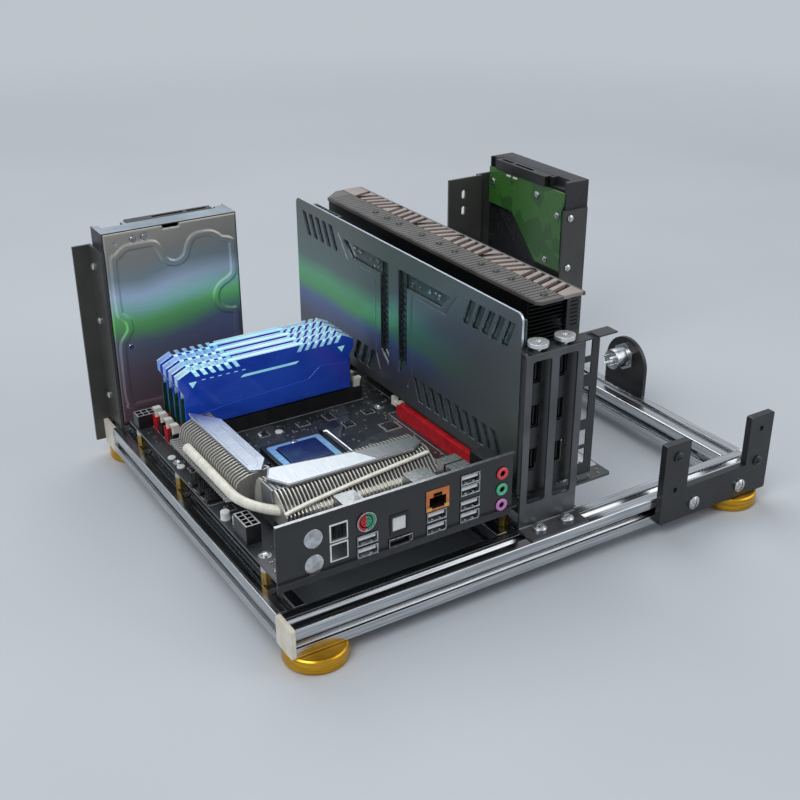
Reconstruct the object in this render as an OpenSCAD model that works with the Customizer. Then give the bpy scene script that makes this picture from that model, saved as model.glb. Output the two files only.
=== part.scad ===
// Open air test bench: a low frame of slotted aluminium rails that carries
// a mainboard, a graphics card, two disk drives, a power button and a plate
// for a power supply. X runs along the front rail, Y to the back, Z up, and
// the origin is the centre of the front left foot, on the table.

/* [Frame] */
// Width of the frame over its end caps
frame_w = 374; // [360:2:460]
// Depth of the frame from front to back
frame_d = 312; // [306:2:400]
// Side of the square slotted rail
rail = 20; // [20:1:25]
// Width of a rail's slot at its mouth
slot_w = 6; // [5:0.5:7]
// Thickness of the lips beside a slot
slot_lip = 1.8; // [1.5:0.1:2.2]
// Depth of a slot from the rail's face
slot_depth = 6; // [5:0.25:6.5]
// Thickness of a plastic end cap
cap_t = 3; // [2:0.5:5]
// Diameter of a turned foot
foot_d = 40; // [24:1:48]
// Height of a turned foot
foot_h = 10; // [6:1:18]
// Centre of the front left foot from the frame's left end
foot_inset = 20; // [20:1:30]

/* [Mainboard] */
// Width of the mainboard along the rear panel
board_w = 244; // [244:1:305]
// Depth of the mainboard
board_d = 244; // [240:1:250]
// Thickness of the mainboard
board_t = 1.6; // [1.2:0.1:2]
// How far the mainboard's rear edge reaches over the front rail
board_overlap = 2.2; // [0:0.2:2.4]
// Height of the hexagonal standoffs
standoff_h = 18; // [12:1:26]
// Height of the memory modules above the mainboard
memory_h = 55; // [42:1:68]
// Distance between neighbouring memory modules
memory_pitch = 10.5; // [10.2:0.1:11]
// Height of the power stage heatsinks above the mainboard
heatsink_h = 28; // [24:1:36]

/* [Graphics card] */
// Length of the card behind its bracket
card_l = 292; // [240:2:340]
// Height of the card's top edge above the mainboard
card_h = 126; // [112:1:154]
// Diameter of a fan over its blades
fan_d = 84; // [70:1:88]
// Number of blades on a fan
fan_blades = 9; // [7:1:11]

/* [Drives] */
// Width of a disk drive
drive_w = 101.6; // [96:0.2:104]
// Height of a disk drive as it stands
drive_l = 147; // [130:1:176]
// Thickness of a disk drive
drive_t = 26.1; // [20:0.1:28]

/* [Plates] */
// Width of the power supply plate
supply_w = 100; // [84:1:120]
// Height of the power supply plate
supply_h = 60; // [50:1:72]
// Thickness of the power supply plate
supply_t = 5; // [3:0.5:6]
// Width of the power button's plate, whose top is a half round
switch_w = 44; // [38:1:52]
// Thickness of the power button's plate
switch_t = 3; // [2:0.5:4]
// Diameter of the power button's threaded barrel
barrel_d = 16; // [12:1:19]
// Thickness of the folded sheet of the slot bracket and the drive angles
sheet = 1.5; // [1:0.1:2]

/* [Hidden] */
$fn = 48;
cut = 1;
gap = 0.3;

// The frame's faces, and the plane that the rails' tops lie in
left = -foot_inset;
front = -rail / 2;
right = left + frame_w;
back = front + frame_d;
base = foot_h;
deck = base + rail;
mid = base + rail / 2;

// Sizes inside a rail's slot
slot_tee = 11;
slot_root = 6.4;
tee_h = 1.5;
rail_bore = 4.2;
joiner_leg = 30;
joiner_t = 3.6;

// The mainboard's place, and its holes measured from its rear left corner
hole_left = 6.35;
hole_mid = 163.83;
hole_right = 209.55;
hole_rear = 10.16;
hole_corner = 33.02;
hole_centre = 165.1;
hole_front = 237.49;
hole_r = 1.95;
board_x = left + rail / 2 - hole_left;
board_y = front + rail - board_overlap;
board_z = deck + standoff_h;
board_top = board_z + board_t;
HOLES = concat(
    [[hole_left, hole_corner]],
    [for (x = [hole_mid, hole_right]) [x, hole_rear]],
    [for (x = [hole_left, hole_mid, hole_right], y = [hole_centre, hole_front]) [x, y]]
);
support_x = [board_x + hole_mid, board_x + hole_right];

// The rear panel's shield, measured from the mainboard's rear left corner
shield_w = 163.5;
shield_h = 44.4;
shield_side = 2.5;
shield_drop = 4.2;
shield_t = 0.8;
shield_y = -1;
port_y = -1.6;
usb_w = 13.8;
usb_h = 6.4;
port_wall = 0.5;
// Left edge and bottom of each port for one plug, above the mainboard
USB = [for (z = [1.4, 9.7]) [49.4, z], for (z = [1.4, 9.9]) [97.6, z],
    for (z = [1.8, 10.3, 20.5, 28]) [121.8, z]];
lan_x = 96.8;
lan_z = 17;
lan_w = 16.6;
lan_h = 14.4;
display_x = 70.9;
display_w = 16;
display_h = 5.4;
optical_x = 71.8;
optical_z = 9.4;
optical_w = 12.8;
optical_h = 13.6;
door_w = 9;
door_t = 0.9;
ps2_x = 55.7;
ps2_z = 25;
ps2_r = 6.4;
jack_x = 152.7;
JACKS = [5.1, 16.2, 27.4];
jack_r = 4.2;
jack_bore = 1.8;
can_depth = 25;

// The memory sockets run along X, and the first is the nearest to the front
memory_x = 86;
memory_y = 188;
memory_n = 4;
socket_l = 137;
socket_w = 6.6;
socket_h = 10.5;
latch_l = 5;
latch_h = 17;
module_l = 133.4;
module_t = 1.3;
module_h = 31.2;
module_foot = 3;
chip_t = 1.1;
spreader_l = 136;
spreader_t = 8;
spreader_foot = 12;
spreader_chamfer = [9.5, 4.5];

// The processor's socket, measured from the mainboard's rear left corner
cpu_x = 81.5;
cpu_y = 124;
cpu_w = 45;
cpu_d = 50;
cpu_frame_h = 3.4;
chip_w = 37.5;
plate_t = 1.2;
lever_r = 1.1;
lever_z = 3.4;
lever_l = 46;

// The power stage heatsinks and the pipe that joins them
side_x = [15.5, 37.5];
side_y = [82, 179];
front_x = [20, 131];
front_y = [33, 77];
fin_t = 1.6;
fin_pitch = 3.6;
foot_gap = 3;
pipe_r = 3.2;
pipe_x = 8;
pipe_y = 37.5;
pipe_z = 17;
pipe_bend = 45;
pipe_end = 151;

// The card's slot and the card, measured from the mainboard's corner
slot_x = 171.95;
slot_y = [47, 142];
slot_h = 11;
latch_hinge = [3.5, 5.8];
slot_t = 10.4;
card_t = 1.6;
card_slot_depth = 7.5;
backplate_gap = 0.8;
backplate_t = 1.5;
backplate_foot = 14.8;
card_pitch = 20.32;
bracket_y = board_y + 4.9;
bracket_t = 1;
card_slots = 3;
blade_w = 18.42;
first_slot = board_x + 179.6;
flange_z = board_top + 103.4;
card_x = board_x + slot_x;
card_back = bracket_y + card_l;
fins_x = card_x + 17.3;
shroud_x = card_x + 46.2;
shroud_t = 11;
card_right = shroud_x + shroud_t;
cover_t = 3;
plate_pitch = 2.6;
plate_thick = 0.9;
fin_low = board_top + 31;
fin_n = floor((card_h - 32.8) / plate_pitch);
fin_top = fin_low + fin_n * plate_pitch + plate_thick;
fan_y = [for (i = [0:2]) bracket_y + 58 + i * (card_l - 106) / 2];
fan_z = board_top + card_h - 50;
fan_gap = 1.5;
hub_r = 17;
axle_r = 1.5;
axle_play = 0.05;
port_rows = [for (i = [0:2]) board_top + 26 + i * 30.5];

// The slot bracket carries the card's bracket over two windows
holder_w = 45.2;
holder_y = bracket_y - 6.7;
flange_d = bracket_y - holder_y - gap;
thumb_y = bracket_y - 3.6;
holder_x = first_slot - 12.3;
window_w = 14.5;
window_z = [deck + 18, flange_z - 6];
bend_r = 1.2;

// The drives stand over the back rail and beside the right rail
drive_foot = 4.3;
left_drive_x = left + 7.1;
left_drive_y = back - drive_t;
right_drive_x = right - 16.3;
right_drive_y = back + 4;
drive_z = deck + drive_foot;
cover_t_drive = 1;
drive_board_t = 1.6;
bead_w = 5.4;
bead_h = 0.9;
// The bead's path is drawn on a drive of this width and length
bead_drive = [101.6, 147];
BEAD_MM = [[6, 22], [6, 50], [6.6, 63], [9.6, 68], [12.4, 72], [13, 76], [11.8, 81], [8.6, 84.6],
    [6.4, 90], [6.2, 125], [8.4, 129], [15, 134.2], [20, 134.8], [34.5, 134.8], [38.6, 132.6],
    [41.4, 127.6], [43.8, 122], [47.4, 118.4], [52.1, 117.1], [56.8, 118.4], [60.4, 122],
    [62.6, 128.4], [65.6, 132.8], [70, 134.8], [79, 134.8], [84.4, 132.4], [88.4, 129],
    [92.6, 127.8], [95.4, 126.4], [96.6, 123], [96.6, 104], [95.2, 99.6], [91.4, 96.8],
    [86.4, 94.2], [82.6, 90.2], [81.2, 84.4], [82.4, 78.8], [86, 74.6], [91, 72.6],
    [94.8, 71.2], [96.4, 67.6], [96.4, 22], [94.6, 15.6], [88.6, 12.6], [14, 12.6], [8, 15.6]];
BEAD = [for (p = BEAD_MM) [p[0] * drive_w / bead_drive[0], p[1] * drive_l / bead_drive[1]]];
DRIVE_POSTS = [[94.8, drive_l - 20], [34.4, drive_l - 17], [7.5, drive_l - 28], [20.6, drive_l / 2 + 5]];
drive_top = drive_z + drive_l;
angle_leg = 14;
angle_t = 2;
angle_top = drive_top - 14;
drive_hole_top = 28.5;
drive_hole_step = 41.6;
drive_hole_far = 101.6;

// The power button and its plate on the right rail's outer face
switch_y = front + 146;
switch_z = base + 39 + switch_w / 2;
barrel_z = base + 46;
barrel_l = 18;
bezel_r = barrel_d / 2 + 2.2;
button_r = barrel_d / 2 - 2;
button_play = 0.08;
button_travel = 1.5;
button_l = 2.6;
button_proud = 0.4;
bezel_h = 4;

// The power supply's plate on the front rail's outer face
supply_x = right - supply_w;
supply_foot = base + 0.8;
upright_w = 22;
bar_h = rail + 3.6;
supply_hole = 11.2;
supply_rows = [deck + 5.2, deck + 30.4];
supply_screw_x = [supply_x + 30, supply_x + 73.5];

// Screws: head radius, head height and shank radius
m5_head = [4.8, 3.2, 2.4];
m3_head = [2.9, 2.1, 1.45];
nut_l = 10;
nut_w = 9.6;
nut_t = 3.8;
holder_screws = [for (x = [12, 34]) [holder_x + x, front + rail / 2]];
angle_screw = [right - rail / 2, right_drive_y - drive_w - angle_t - 9];
drive_plate_x = right - 59;
plate_screw_x = drive_plate_x + 14;
switch_screw_y = [switch_y - 12, switch_y + 12];
foot_x = [left + foot_inset, right - foot_inset];
foot_y = [front + rail / 2, back - rail / 2];

// A rectangle with round corners, from the origin
module rounded(w, h, r) {
    translate([r, 0]) square([w - 2 * r, h]);
    translate([0, r]) square([w, h - 2 * r]);
    for (x = [r, w - r], y = [r, h - r]) translate([x, y]) circle(r);
}

// A sketch in Y and Z that gets its thickness along +X
module upright_x(t) {
    rotate([90, 0, 90]) linear_extrude(t) children();
}

// A sketch in X and Z that gets its thickness along +Y
module upright_y(t) {
    translate([0, t, 0]) rotate([90, 0, 0]) linear_extrude(t) children();
}

// A place on the mainboard's top, from its rear left corner
module on_board(x = 0, y = 0, z = 0) {
    translate([board_x + x, board_y + y, board_top + z]) children();
}

// A shape as drawn, or for a side of -1 its mirror image across x
module sided(side) {
    if (side < 0) mirror([1, 0, 0]) children();
    else children();
}

// A rod along +Y or +X
module rod_y(r, l) rotate([-90, 0, 0]) cylinder(r = r, h = l);
module rod_x(r, l) rotate([0, 90, 0]) cylinder(r = r, h = l);

// Cross section of a slotted rail, centred
module slot_mouth() {
    translate([0, -rail / 2])
        polygon([[-slot_w / 2, -cut], [slot_w / 2, -cut], [slot_w / 2, slot_lip],
            [slot_tee / 2, slot_lip], [slot_tee / 2, slot_lip + tee_h],
            [slot_root / 2, slot_depth], [-slot_root / 2, slot_depth],
            [-slot_tee / 2, slot_lip + tee_h], [-slot_tee / 2, slot_lip],
            [-slot_w / 2, slot_lip]]);
}
module rail_profile() {
    difference() {
        translate([-rail / 2, -rail / 2]) rounded(rail, rail, 1);
        for (a = [0:90:270]) rotate(a) slot_mouth();
        circle(d = rail_bore);
    }
}
module rail_along_x(x0, x1, y) {
    color("silver") translate([x0, y, mid]) upright_x(x1 - x0) rail_profile();
}
module rail_along_y(x, y0, y1) {
    color("silver") translate([x, y0, mid]) upright_y(y1 - y0) rail_profile();
}

module front_rail() rail_along_x(left + cap_t, right - cap_t, front + rail / 2);
module back_rail() rail_along_x(left + cap_t, right - cap_t, back - rail / 2);
module left_rail() rail_along_y(left + rail / 2, front + rail, back - rail);
module right_rail() rail_along_y(right - rail / 2, front + rail, back - rail);
module support_rails() {
    for (x = support_x) rail_along_y(x, front + rail, back - rail);
}

// A cap covers a rail's end, and its peg sits in the rail's bore
module end_cap() {
    peg_l = 8;
    upright_x(cap_t) translate([-rail / 2, -rail / 2]) rounded(rail, rail, 1.5);
    translate([cap_t, 0, 0]) rod_x(rail_bore / 2 - 0.1, peg_l);
}
module end_caps() {
    for (y = foot_y) {
        color("white") translate([left, y, mid]) end_cap();
        color("white") translate([right, y, mid]) mirror([1, 0, 0]) end_cap();
    }
}

// A joiner lies in the slots of two rails that meet, from the corner of
// both slots' floors
module joiner() {
    height = slot_w - 0.4;
    translate([0, 0, -height / 2]) linear_extrude(height) {
        square([joiner_leg, joiner_t]);
        square([joiner_t, joiner_leg]);
    }
}
module corner_joiners() {
    floor_y = front + rail - slot_depth;
    floor_back = back - rail + slot_depth;
    for (x = concat([left + rail / 2], support_x)) {
        near = x + rail / 2 - slot_depth;
        color("gray") translate([near, floor_y, mid]) joiner();
        color("gray") translate([near, floor_back, mid]) mirror([0, 1, 0]) joiner();
    }
    far = right - rail + slot_depth;
    color("gray") translate([far, floor_y, mid]) mirror([1, 0, 0]) joiner();
    color("gray") translate([far, floor_back, mid]) mirror([1, 1, 0])
        rotate(90) mirror([0, 1, 0]) joiner();
}

// A foot is turned in one piece with the stud that screws into its nut
module foot() {
    chamfer = 1;
    stud_r = 2.4;
    cylinder(r1 = foot_d / 2 - chamfer, r2 = foot_d / 2, h = chamfer);
    translate([0, 0, chamfer]) cylinder(d = foot_d, h = foot_h - 2 * chamfer);
    translate([0, 0, foot_h - chamfer])
        cylinder(r1 = foot_d / 2, r2 = foot_d / 2 - chamfer, h = chamfer);
    cylinder(r = stud_r, h = foot_h + slot_depth - 0.4);
}
module feet() {
    for (x = foot_x, y = foot_y) color("goldenrod") translate([x, y, 0]) foot();
}

// A nut fills the slot behind the lips, its mouth at the origin facing +Z
module slot_nut(r) {
    under = slot_lip;
    difference() {
        rotate([90, 0, 0]) translate([0, 0, -nut_l / 2]) linear_extrude(nut_l)
            polygon([[-nut_w / 2, -under], [nut_w / 2, -under],
                [nut_w / 2, -under - tee_h + 0.2], [slot_root / 2 - 0.4, -under - nut_t],
                [-slot_root / 2 + 0.4, -under - nut_t], [-nut_w / 2, -under - tee_h + 0.2]]);
        translate([0, 0, -under - nut_t - cut]) cylinder(r = r, h = nut_t + 2 * cut);
    }
}
module slot_nuts() {
    m5_r = m5_head[2] + 0.1;
    m3_r = m3_head[2] + 0.1;
    color("gray") {
        for (x = foot_x, y = foot_y) translate([x, y, base]) rotate([180, 0, 90]) slot_nut(m5_r);
        for (p = holder_screws) translate([p[0], p[1], deck]) rotate(90) slot_nut(m5_r);
        for (x = supply_screw_x) translate([x, front, mid]) rotate([90, 90, 0]) slot_nut(m5_r);
        translate([plate_screw_x, back, mid]) rotate([-90, 90, 0]) slot_nut(m5_r);
        translate([left + cap_t + nut_l / 2 + 2, back, mid]) rotate([-90, 90, 0]) slot_nut(m5_r);
        translate([angle_screw[0], angle_screw[1], deck]) slot_nut(m5_r);
        for (y = switch_screw_y) translate([right, y, mid]) rotate([0, 90, 0]) slot_nut(m5_r);
        for (h = HOLES) translate([board_x + h[0], board_y + h[1], deck]) slot_nut(m3_r);
    }
}

// A round headed screw with a driver slot, its head on the origin facing +Z
module pan_screw(size, shank, slot = 1.2) {
    dome = size[0] * 1.5;
    difference() {
        intersection() {
            cylinder(r = size[0], h = size[1]);
            translate([0, 0, size[1] - dome]) sphere(dome);
        }
        translate([-size[0], -slot / 2, size[1] * 0.55]) cube([2 * size[0], slot, size[1]]);
    }
    translate([0, 0, -shank]) cylinder(r = size[2], h = shank + 0.01);
}
module rail_screws() {
    reach = slot_depth - 0.6;
    color("silver") {
        for (p = holder_screws)
            translate([p[0], p[1], deck + sheet]) rotate(20) pan_screw(m5_head, reach + sheet);
        for (x = supply_screw_x) translate([x, front - supply_t, mid])
            rotate([90, 0, 0]) rotate(70) pan_screw(m5_head, reach + supply_t);
        translate([plate_screw_x, back + angle_t, mid])
            rotate([-90, 0, 0]) rotate(35) pan_screw(m5_head, reach + angle_t);
        translate([left + cap_t + nut_l / 2 + 2, back + angle_t, mid])
            rotate([-90, 0, 0]) rotate(10) pan_screw(m5_head, reach + angle_t);
        translate([angle_screw[0], angle_screw[1], deck + angle_t])
            rotate(50) pan_screw(m5_head, reach + angle_t);
        for (y = switch_screw_y) translate([right + switch_t, y, mid])
            rotate([0, 90, 0]) rotate(25) pan_screw(m5_head, reach + switch_t);
    }
}

// A hexagonal standoff with a stud below and a threaded hole above
module standoff() {
    across = 6;
    thread = m3_head[2] + 0.1;
    stud = slot_depth - 0.6;
    difference() {
        cylinder(d = across / cos(30), h = standoff_h, $fn = 6);
        translate([0, 0, standoff_h - 8]) cylinder(r = thread, h = 8 + cut);
    }
    translate([0, 0, -stud]) cylinder(r = m3_head[2], h = stud + 0.01);
}
module standoffs() {
    for (h = HOLES) color("goldenrod")
        translate([board_x + h[0], board_y + h[1], deck]) standoff();
}

// Screws of the mainboard and of the drives are of one kind
module small_screws() {
    side = 5.5;
    color("silver") {
        for (h = HOLES) on_board(h[0], h[1]) pan_screw(m3_head, board_t + 5, 0.8);
        for (s = [drive_hole_top, drive_hole_top + drive_hole_step, drive_hole_top + drive_hole_far])
            translate([left_drive_x - angle_t, left_drive_y + drive_t - 6.35, drive_top - s])
                rotate([0, -90, 0]) pan_screw(m3_head, angle_t + side, 0.8);
        for (s = [drive_hole_top, drive_hole_top + drive_hole_step]) {
            translate([right_drive_x + 6.35, right_drive_y - drive_w - angle_t, drive_top - s])
                rotate([90, 0, 0]) pan_screw(m3_head, angle_t + side, 0.8);
            translate([right_drive_x + 6.35, right_drive_y + angle_t, drive_top - s])
                rotate([-90, 0, 0]) pan_screw(m3_head, angle_t + side, 0.8);
        }
        stand_left() drive_board_screws();
        stand_right() drive_board_screws();
    }
}
module drive_board_screws() {
    for (p = DRIVE_POSTS) translate([p[0], drive_t - 1, p[1]])
        rotate([-90, 0, 0]) pan_screw(m3_head, drive_board_t + 5, 0.8);
}

module mainboard() {
    corner = 2.5;
    color([0.08, 0.09, 0.1]) difference() {
        translate([board_x, board_y, board_z]) linear_extrude(board_t)
            rounded(board_w, board_d, corner);
        for (h = HOLES) translate([board_x + h[0], board_y + h[1], board_z - cut])
            cylinder(r = hole_r, h = board_t + 2 * cut);
    }
}

// The rear panel's ports, as sketches in X and Z above the mainboard
module usb_mouths(grow = 0) {
    for (p = USB) translate([p[0] - grow, p[1] - grow])
        square([usb_w + 2 * grow, usb_h + 2 * grow]);
}
module lan_mouth(grow = 0) {
    translate([lan_x - grow, lan_z - grow]) square([lan_w + 2 * grow, lan_h + 2 * grow]);
}
module display_mouth(grow = 0) {
    lug = 1.8;
    translate([display_x, 1.4]) polygon([[-grow, -grow], [display_w - lug + grow, -grow],
        [display_w + grow, lug - grow / 2], [display_w + grow, display_h + grow],
        [-grow, display_h + grow]]);
}
module optical_mouth(grow = 0) {
    translate([optical_x - grow, optical_z - grow])
        square([optical_w + 2 * grow, optical_h + 2 * grow]);
}
module jack_mouths(r) {
    for (z = JACKS) translate([jack_x, z]) circle(r);
}

// The shield is a pressed sheet whose rim is turned back around the mouths
module io_shield() {
    play = 0.25;
    rim = 1.6;
    step = 5;
    window = 10.2;
    blank_r = 6.4;
    x0 = -shield_side;
    z0 = -shield_drop;
    color([0.1, 0.1, 0.11]) on_board(0, shield_y) {
        difference() {
            union() {
                upright_y(shield_t) translate([x0, z0]) square([shield_w, shield_h]);
                translate([x0, -rim, z0 + shield_h - rim]) cube([shield_w, rim, rim]);
                translate([x0, -rim, z0 + step]) cube([shield_w, rim, 0.8]);
                for (z = [5.6, 18.6]) translate([31.6, -0.6, z - 0.4]) difference() {
                    cube([window + 1.6, 0.7, window + 1.6]);
                    translate([0.8, -cut, 0.8]) cube([window, 3, window]);
                }
            }
            translate([0, -3, 0]) upright_y(6) {
                usb_mouths(play);
                lan_mouth(play);
                display_mouth(play);
                optical_mouth(play);
                jack_mouths(jack_r + play);
                translate([ps2_x, ps2_z]) circle(ps2_r + play);
                for (z = [7.4, 24.3]) translate([21.5, z]) circle(blank_r);
                for (z = [5.6, 18.6]) translate([32.4, z + 0.4]) square(window);
            }
        }
    }
}

module ps2_port() {
    body = 14;
    color([0.75, 0.72, 0.68]) difference() {
        union() {
            on_board(ps2_x, port_y, ps2_z) rod_y(ps2_r, 8);
            on_board(ps2_x - body / 2, 0.3, 17) cube([body, can_depth, body]);
            on_board(ps2_x - body / 2, 21, 0) cube([body, can_depth - 20.7, 17.01]);
        }
        on_board(ps2_x, port_y - cut, ps2_z) difference() {
            rod_y(4.9, 8);
            rod_y(3.6, 10);
        }
    }
}

// A shell with a tongue inside, as one plug's place
module usb_shell(depth) {
    tongue_h = 1.8;
    difference() {
        cube([usb_w, depth, usb_h]);
        translate([port_wall, -cut, port_wall])
            cube([usb_w - 2 * port_wall, depth - 4 + cut, usb_h - 2 * port_wall]);
    }
    translate([1.2, 1, usb_h / 2 - 0.1]) cube([usb_w - 2.4, depth - 2, tongue_h]);
}
module usb_ports() {
    depth = 17;
    color("silver") {
        for (p = USB) on_board(p[0], port_y, p[1]) usb_shell(depth);
        for (s = [[USB[0], 16.2, 20.2], [USB[2], 16.4, 20.2], [USB[4], 34, can_depth]])
            on_board(s[0][0], 0.3, 0) difference() {
                cube([usb_w, s[2], s[1]]);
                for (p = USB) translate([p[0] - s[0][0] - 0.01, -cut, p[1] + 0.01])
                    cube([usb_w + 0.02, depth + cut, usb_h - 0.02]);
            }
    }
}
module lan_port() {
    depth = can_depth + 1.9;
    mouth_w = 11.8;
    mouth_h = 7.6;
    color("orange") difference() {
        union() {
            on_board(lan_x, port_y, lan_z) cube([lan_w, depth, lan_h]);
            on_board(lan_x, 21, 0) cube([lan_w, can_depth - 20.7, lan_z + 0.01]);
        }
        on_board(lan_x + (lan_w - mouth_w) / 2, port_y - cut, lan_z + 1.6)
            cube([mouth_w, 12 + cut, mouth_h]);
        on_board(lan_x + lan_w / 2 - 3, port_y - cut, lan_z + 8.4) cube([6, 8 + cut, 3.4]);
    }
}

// The board's own display port, and three double ones at the card's bracket
module display_socket(depth, tall) {
    difference() {
        translate([0, 0, -tall / 2]) cube([5.6, depth, tall]);
        translate([0.7, -cut, 0.7 - tall / 2]) cube([4.2, depth - 4, tall - 1.4]);
    }
    translate([2.2, 0.6, 1.6 - tall / 2]) cube([1.2, depth - 1, tall - 3.2]);
}
module display_ports() {
    depth = 16;
    tall = 15;
    color([0.14, 0.14, 0.15]) {
        on_board(0, port_y) difference() {
            upright_y(depth) display_mouth();
            translate([display_x + 0.8, -cut, 2.2])
                cube([display_w - 3, depth - 4 + cut, display_h - 1.6]);
        }
        on_board(display_x, 6, 0) cube([display_w, 8, 1.41]);
        on_board(display_x + 1.6, 0, 3.5) cube([display_w - 6, depth - 5, 1.2]);
        for (z = port_rows) {
            for (i = [0, 1])
                translate([first_slot + i * card_pitch - 1.4, bracket_y + bracket_t + 0.1, z])
                    display_socket(depth, tall);
            translate([card_x + card_t / 2, bracket_y + 6, z - tall / 2])
                cube([first_slot - 1.3 - card_x - card_t / 2, 9, tall]);
            translate([first_slot + 4.1, bracket_y + 6, z - tall / 2])
                cube([card_pitch - 5.4, 9, tall]);
        }
    }
}

// The optical socket is hollow behind a flap that a plug pushes in
module optical_port() {
    depth = 20;
    room = door_w + 0.7;
    color([0.09, 0.09, 0.1]) difference() {
        on_board(optical_x, port_y, optical_z) cube([optical_w, depth, optical_h]);
        on_board(optical_x + (optical_w - room) / 2, port_y - cut, optical_z + 2)
            cube([room, 12 + cut, room]);
    }
    color([0.09, 0.09, 0.1]) on_board(optical_x + 1, 15, 0)
        cube([optical_w - 2, 3.4, optical_z + 0.01]);
}
module optical_door() {
    hinge_z = optical_z + 2 + door_w + 0.2;
    color("white") {
        on_board(optical_x + (optical_w - door_w) / 2, port_y + 0.6, hinge_z - door_w + 0.1)
            cube([door_w, door_t, door_w - 0.45]);
        on_board(optical_x + (optical_w - door_w) / 2, port_y + 0.6 + door_t / 2, hinge_z - 0.45)
            rod_x(door_t / 2, door_w);
    }
}
module audio_jacks() {
    body_w = 12;
    color([0.12, 0.12, 0.13]) difference() {
        union() {
            on_board(jack_x - body_w / 2, 0.3, 0) cube([body_w, can_depth, 33]);
            for (z = JACKS) on_board(jack_x, port_y, z) rod_y(jack_r, 3);
        }
        for (z = JACKS) on_board(jack_x, port_y - cut, z) rod_y(jack_bore, 15 + cut);
    }
}

// The processor sits in its frame under a plate that the lever holds down
module socket_frame() {
    well = chip_w + 0.8;
    hinge = 4.4;
    color([0.2, 0.22, 0.26]) on_board(cpu_x, cpu_y) {
        difference() {
            translate([-cpu_w / 2, -cpu_d / 2, 0]) cube([cpu_w, cpu_d, cpu_frame_h]);
            translate([-well / 2, -well / 2, 1.2]) cube([well, well, cpu_frame_h]);
        }
        translate([cpu_w / 2 - 0.01, cpu_d / 2 - 4.1, 0]) difference() {
            cube([2, 3.2, hinge + 1.4]);
            translate([-cut, 1.6, lever_z]) rod_x(lever_r + axle_play, 4);
        }
    }
}
module processor() {
    lid = 30;
    color([0.35, 0.55, 0.85]) on_board(cpu_x, cpu_y) {
        translate([-chip_w / 2, -chip_w / 2, 1.2]) cube([chip_w, chip_w, 1.2]);
        translate([-lid / 2, -lid / 2, 2.4]) linear_extrude(3.4) rounded(lid, lid, 2);
    }
}
module load_plate() {
    opening = 31.2;
    side = 41;
    color([0.55, 0.75, 0.9]) on_board(cpu_x, cpu_y, cpu_frame_h) difference() {
        translate([-side / 2, -cpu_d / 2 + 1, 0]) linear_extrude(plate_t)
            rounded(side, cpu_d - 6, 2);
        translate([-opening / 2, -opening / 2, -cut]) cube([opening, opening, 4]);
    }
}
module socket_lever() {
    axis_y = cpu_d / 2 - 2.5;
    run = 6.2;
    color("lightgray") on_board(cpu_x + cpu_w / 2, cpu_y + axis_y, lever_z) {
        translate([0.1, 0, 0]) rod_x(lever_r, run - 0.3);
        translate([run - 0.2, 0, 0]) sphere(lever_r);
        translate([run - 0.2, -lever_l, 0]) rod_y(lever_r, lever_l);
        translate([run - 0.2, -lever_l, 0]) sphere(lever_r);
        translate([run - 0.2, -lever_l, 0]) rod_x(lever_r, 4);
    }
}

// Four memory sockets in two colours, each with a module between two latches
module memory_place(i) {
    on_board(memory_x, memory_y + i * memory_pitch) children();
}
module memory_socket() {
    groove = module_t + 0.5;
    difference() {
        translate([-socket_l / 2, -socket_w / 2, 0]) cube([socket_l, socket_w, socket_h]);
        translate([-module_l / 2 - 0.3, -groove / 2, module_foot - 0.1])
            cube([module_l + 0.6, groove, socket_h]);
    }
    for (s = [-1, 1]) sided(s) latch_tower();
}

// The end of a socket is a box that is open above and, over a low wall, outwards
module latch_tower() {
    l = latch_l + 1.5;
    room = 4.9;
    wall = 0.8;
    translate([socket_l / 2 - 0.01, 0, 0]) difference() {
        translate([0, -socket_w / 2, 0]) cube([l, socket_w, socket_h]);
        translate([0.15, -room / 2, 2.4]) cube([l - wall - 0.15, room, socket_h]);
        translate([wall, -room / 2, 7]) cube([l, room, socket_h]);
    }
}
module red_sockets() {
    for (i = [1:2:memory_n - 1]) color("red") memory_place(i) memory_socket();
}
module black_sockets() {
    for (i = [0:2:memory_n - 1]) color([0.1, 0.1, 0.1]) memory_place(i) memory_socket();
}
module socket_latches() {
    foot = 2.5;
    thick = 4.6;
    for (i = [0:memory_n - 1], s = [-1, 1])
        color([0.93, 0.91, 0.82]) memory_place(i) sided(s)
            translate([socket_l / 2 + 0.3, thick / 2, foot]) rotate([90, 0, 0])
                linear_extrude(thick) polygon([[0, 0], [latch_l - 0.6, 0], [latch_l, latch_h - 6],
                    [latch_l + 1.5, latch_h - foot], [1, latch_h - foot], [0, latch_h - 5]]);
}
module memory_boards() {
    chip_w = 9;
    chip_h = 11;
    step = 15.2;
    for (i = [0:memory_n - 1]) color("green") memory_place(i) {
        translate([-module_l / 2, -module_t / 2, module_foot])
            cube([module_l, module_t, module_h]);
        for (k = [0:7], s = [-1, 1])
            translate([-3.5 * step + k * step - chip_w / 2,
                s > 0 ? module_t / 2 - 0.01 : -module_t / 2 - chip_t + 0.01, module_foot + 13])
                cube([chip_w, chip_t, chip_h]);
    }
}

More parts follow.
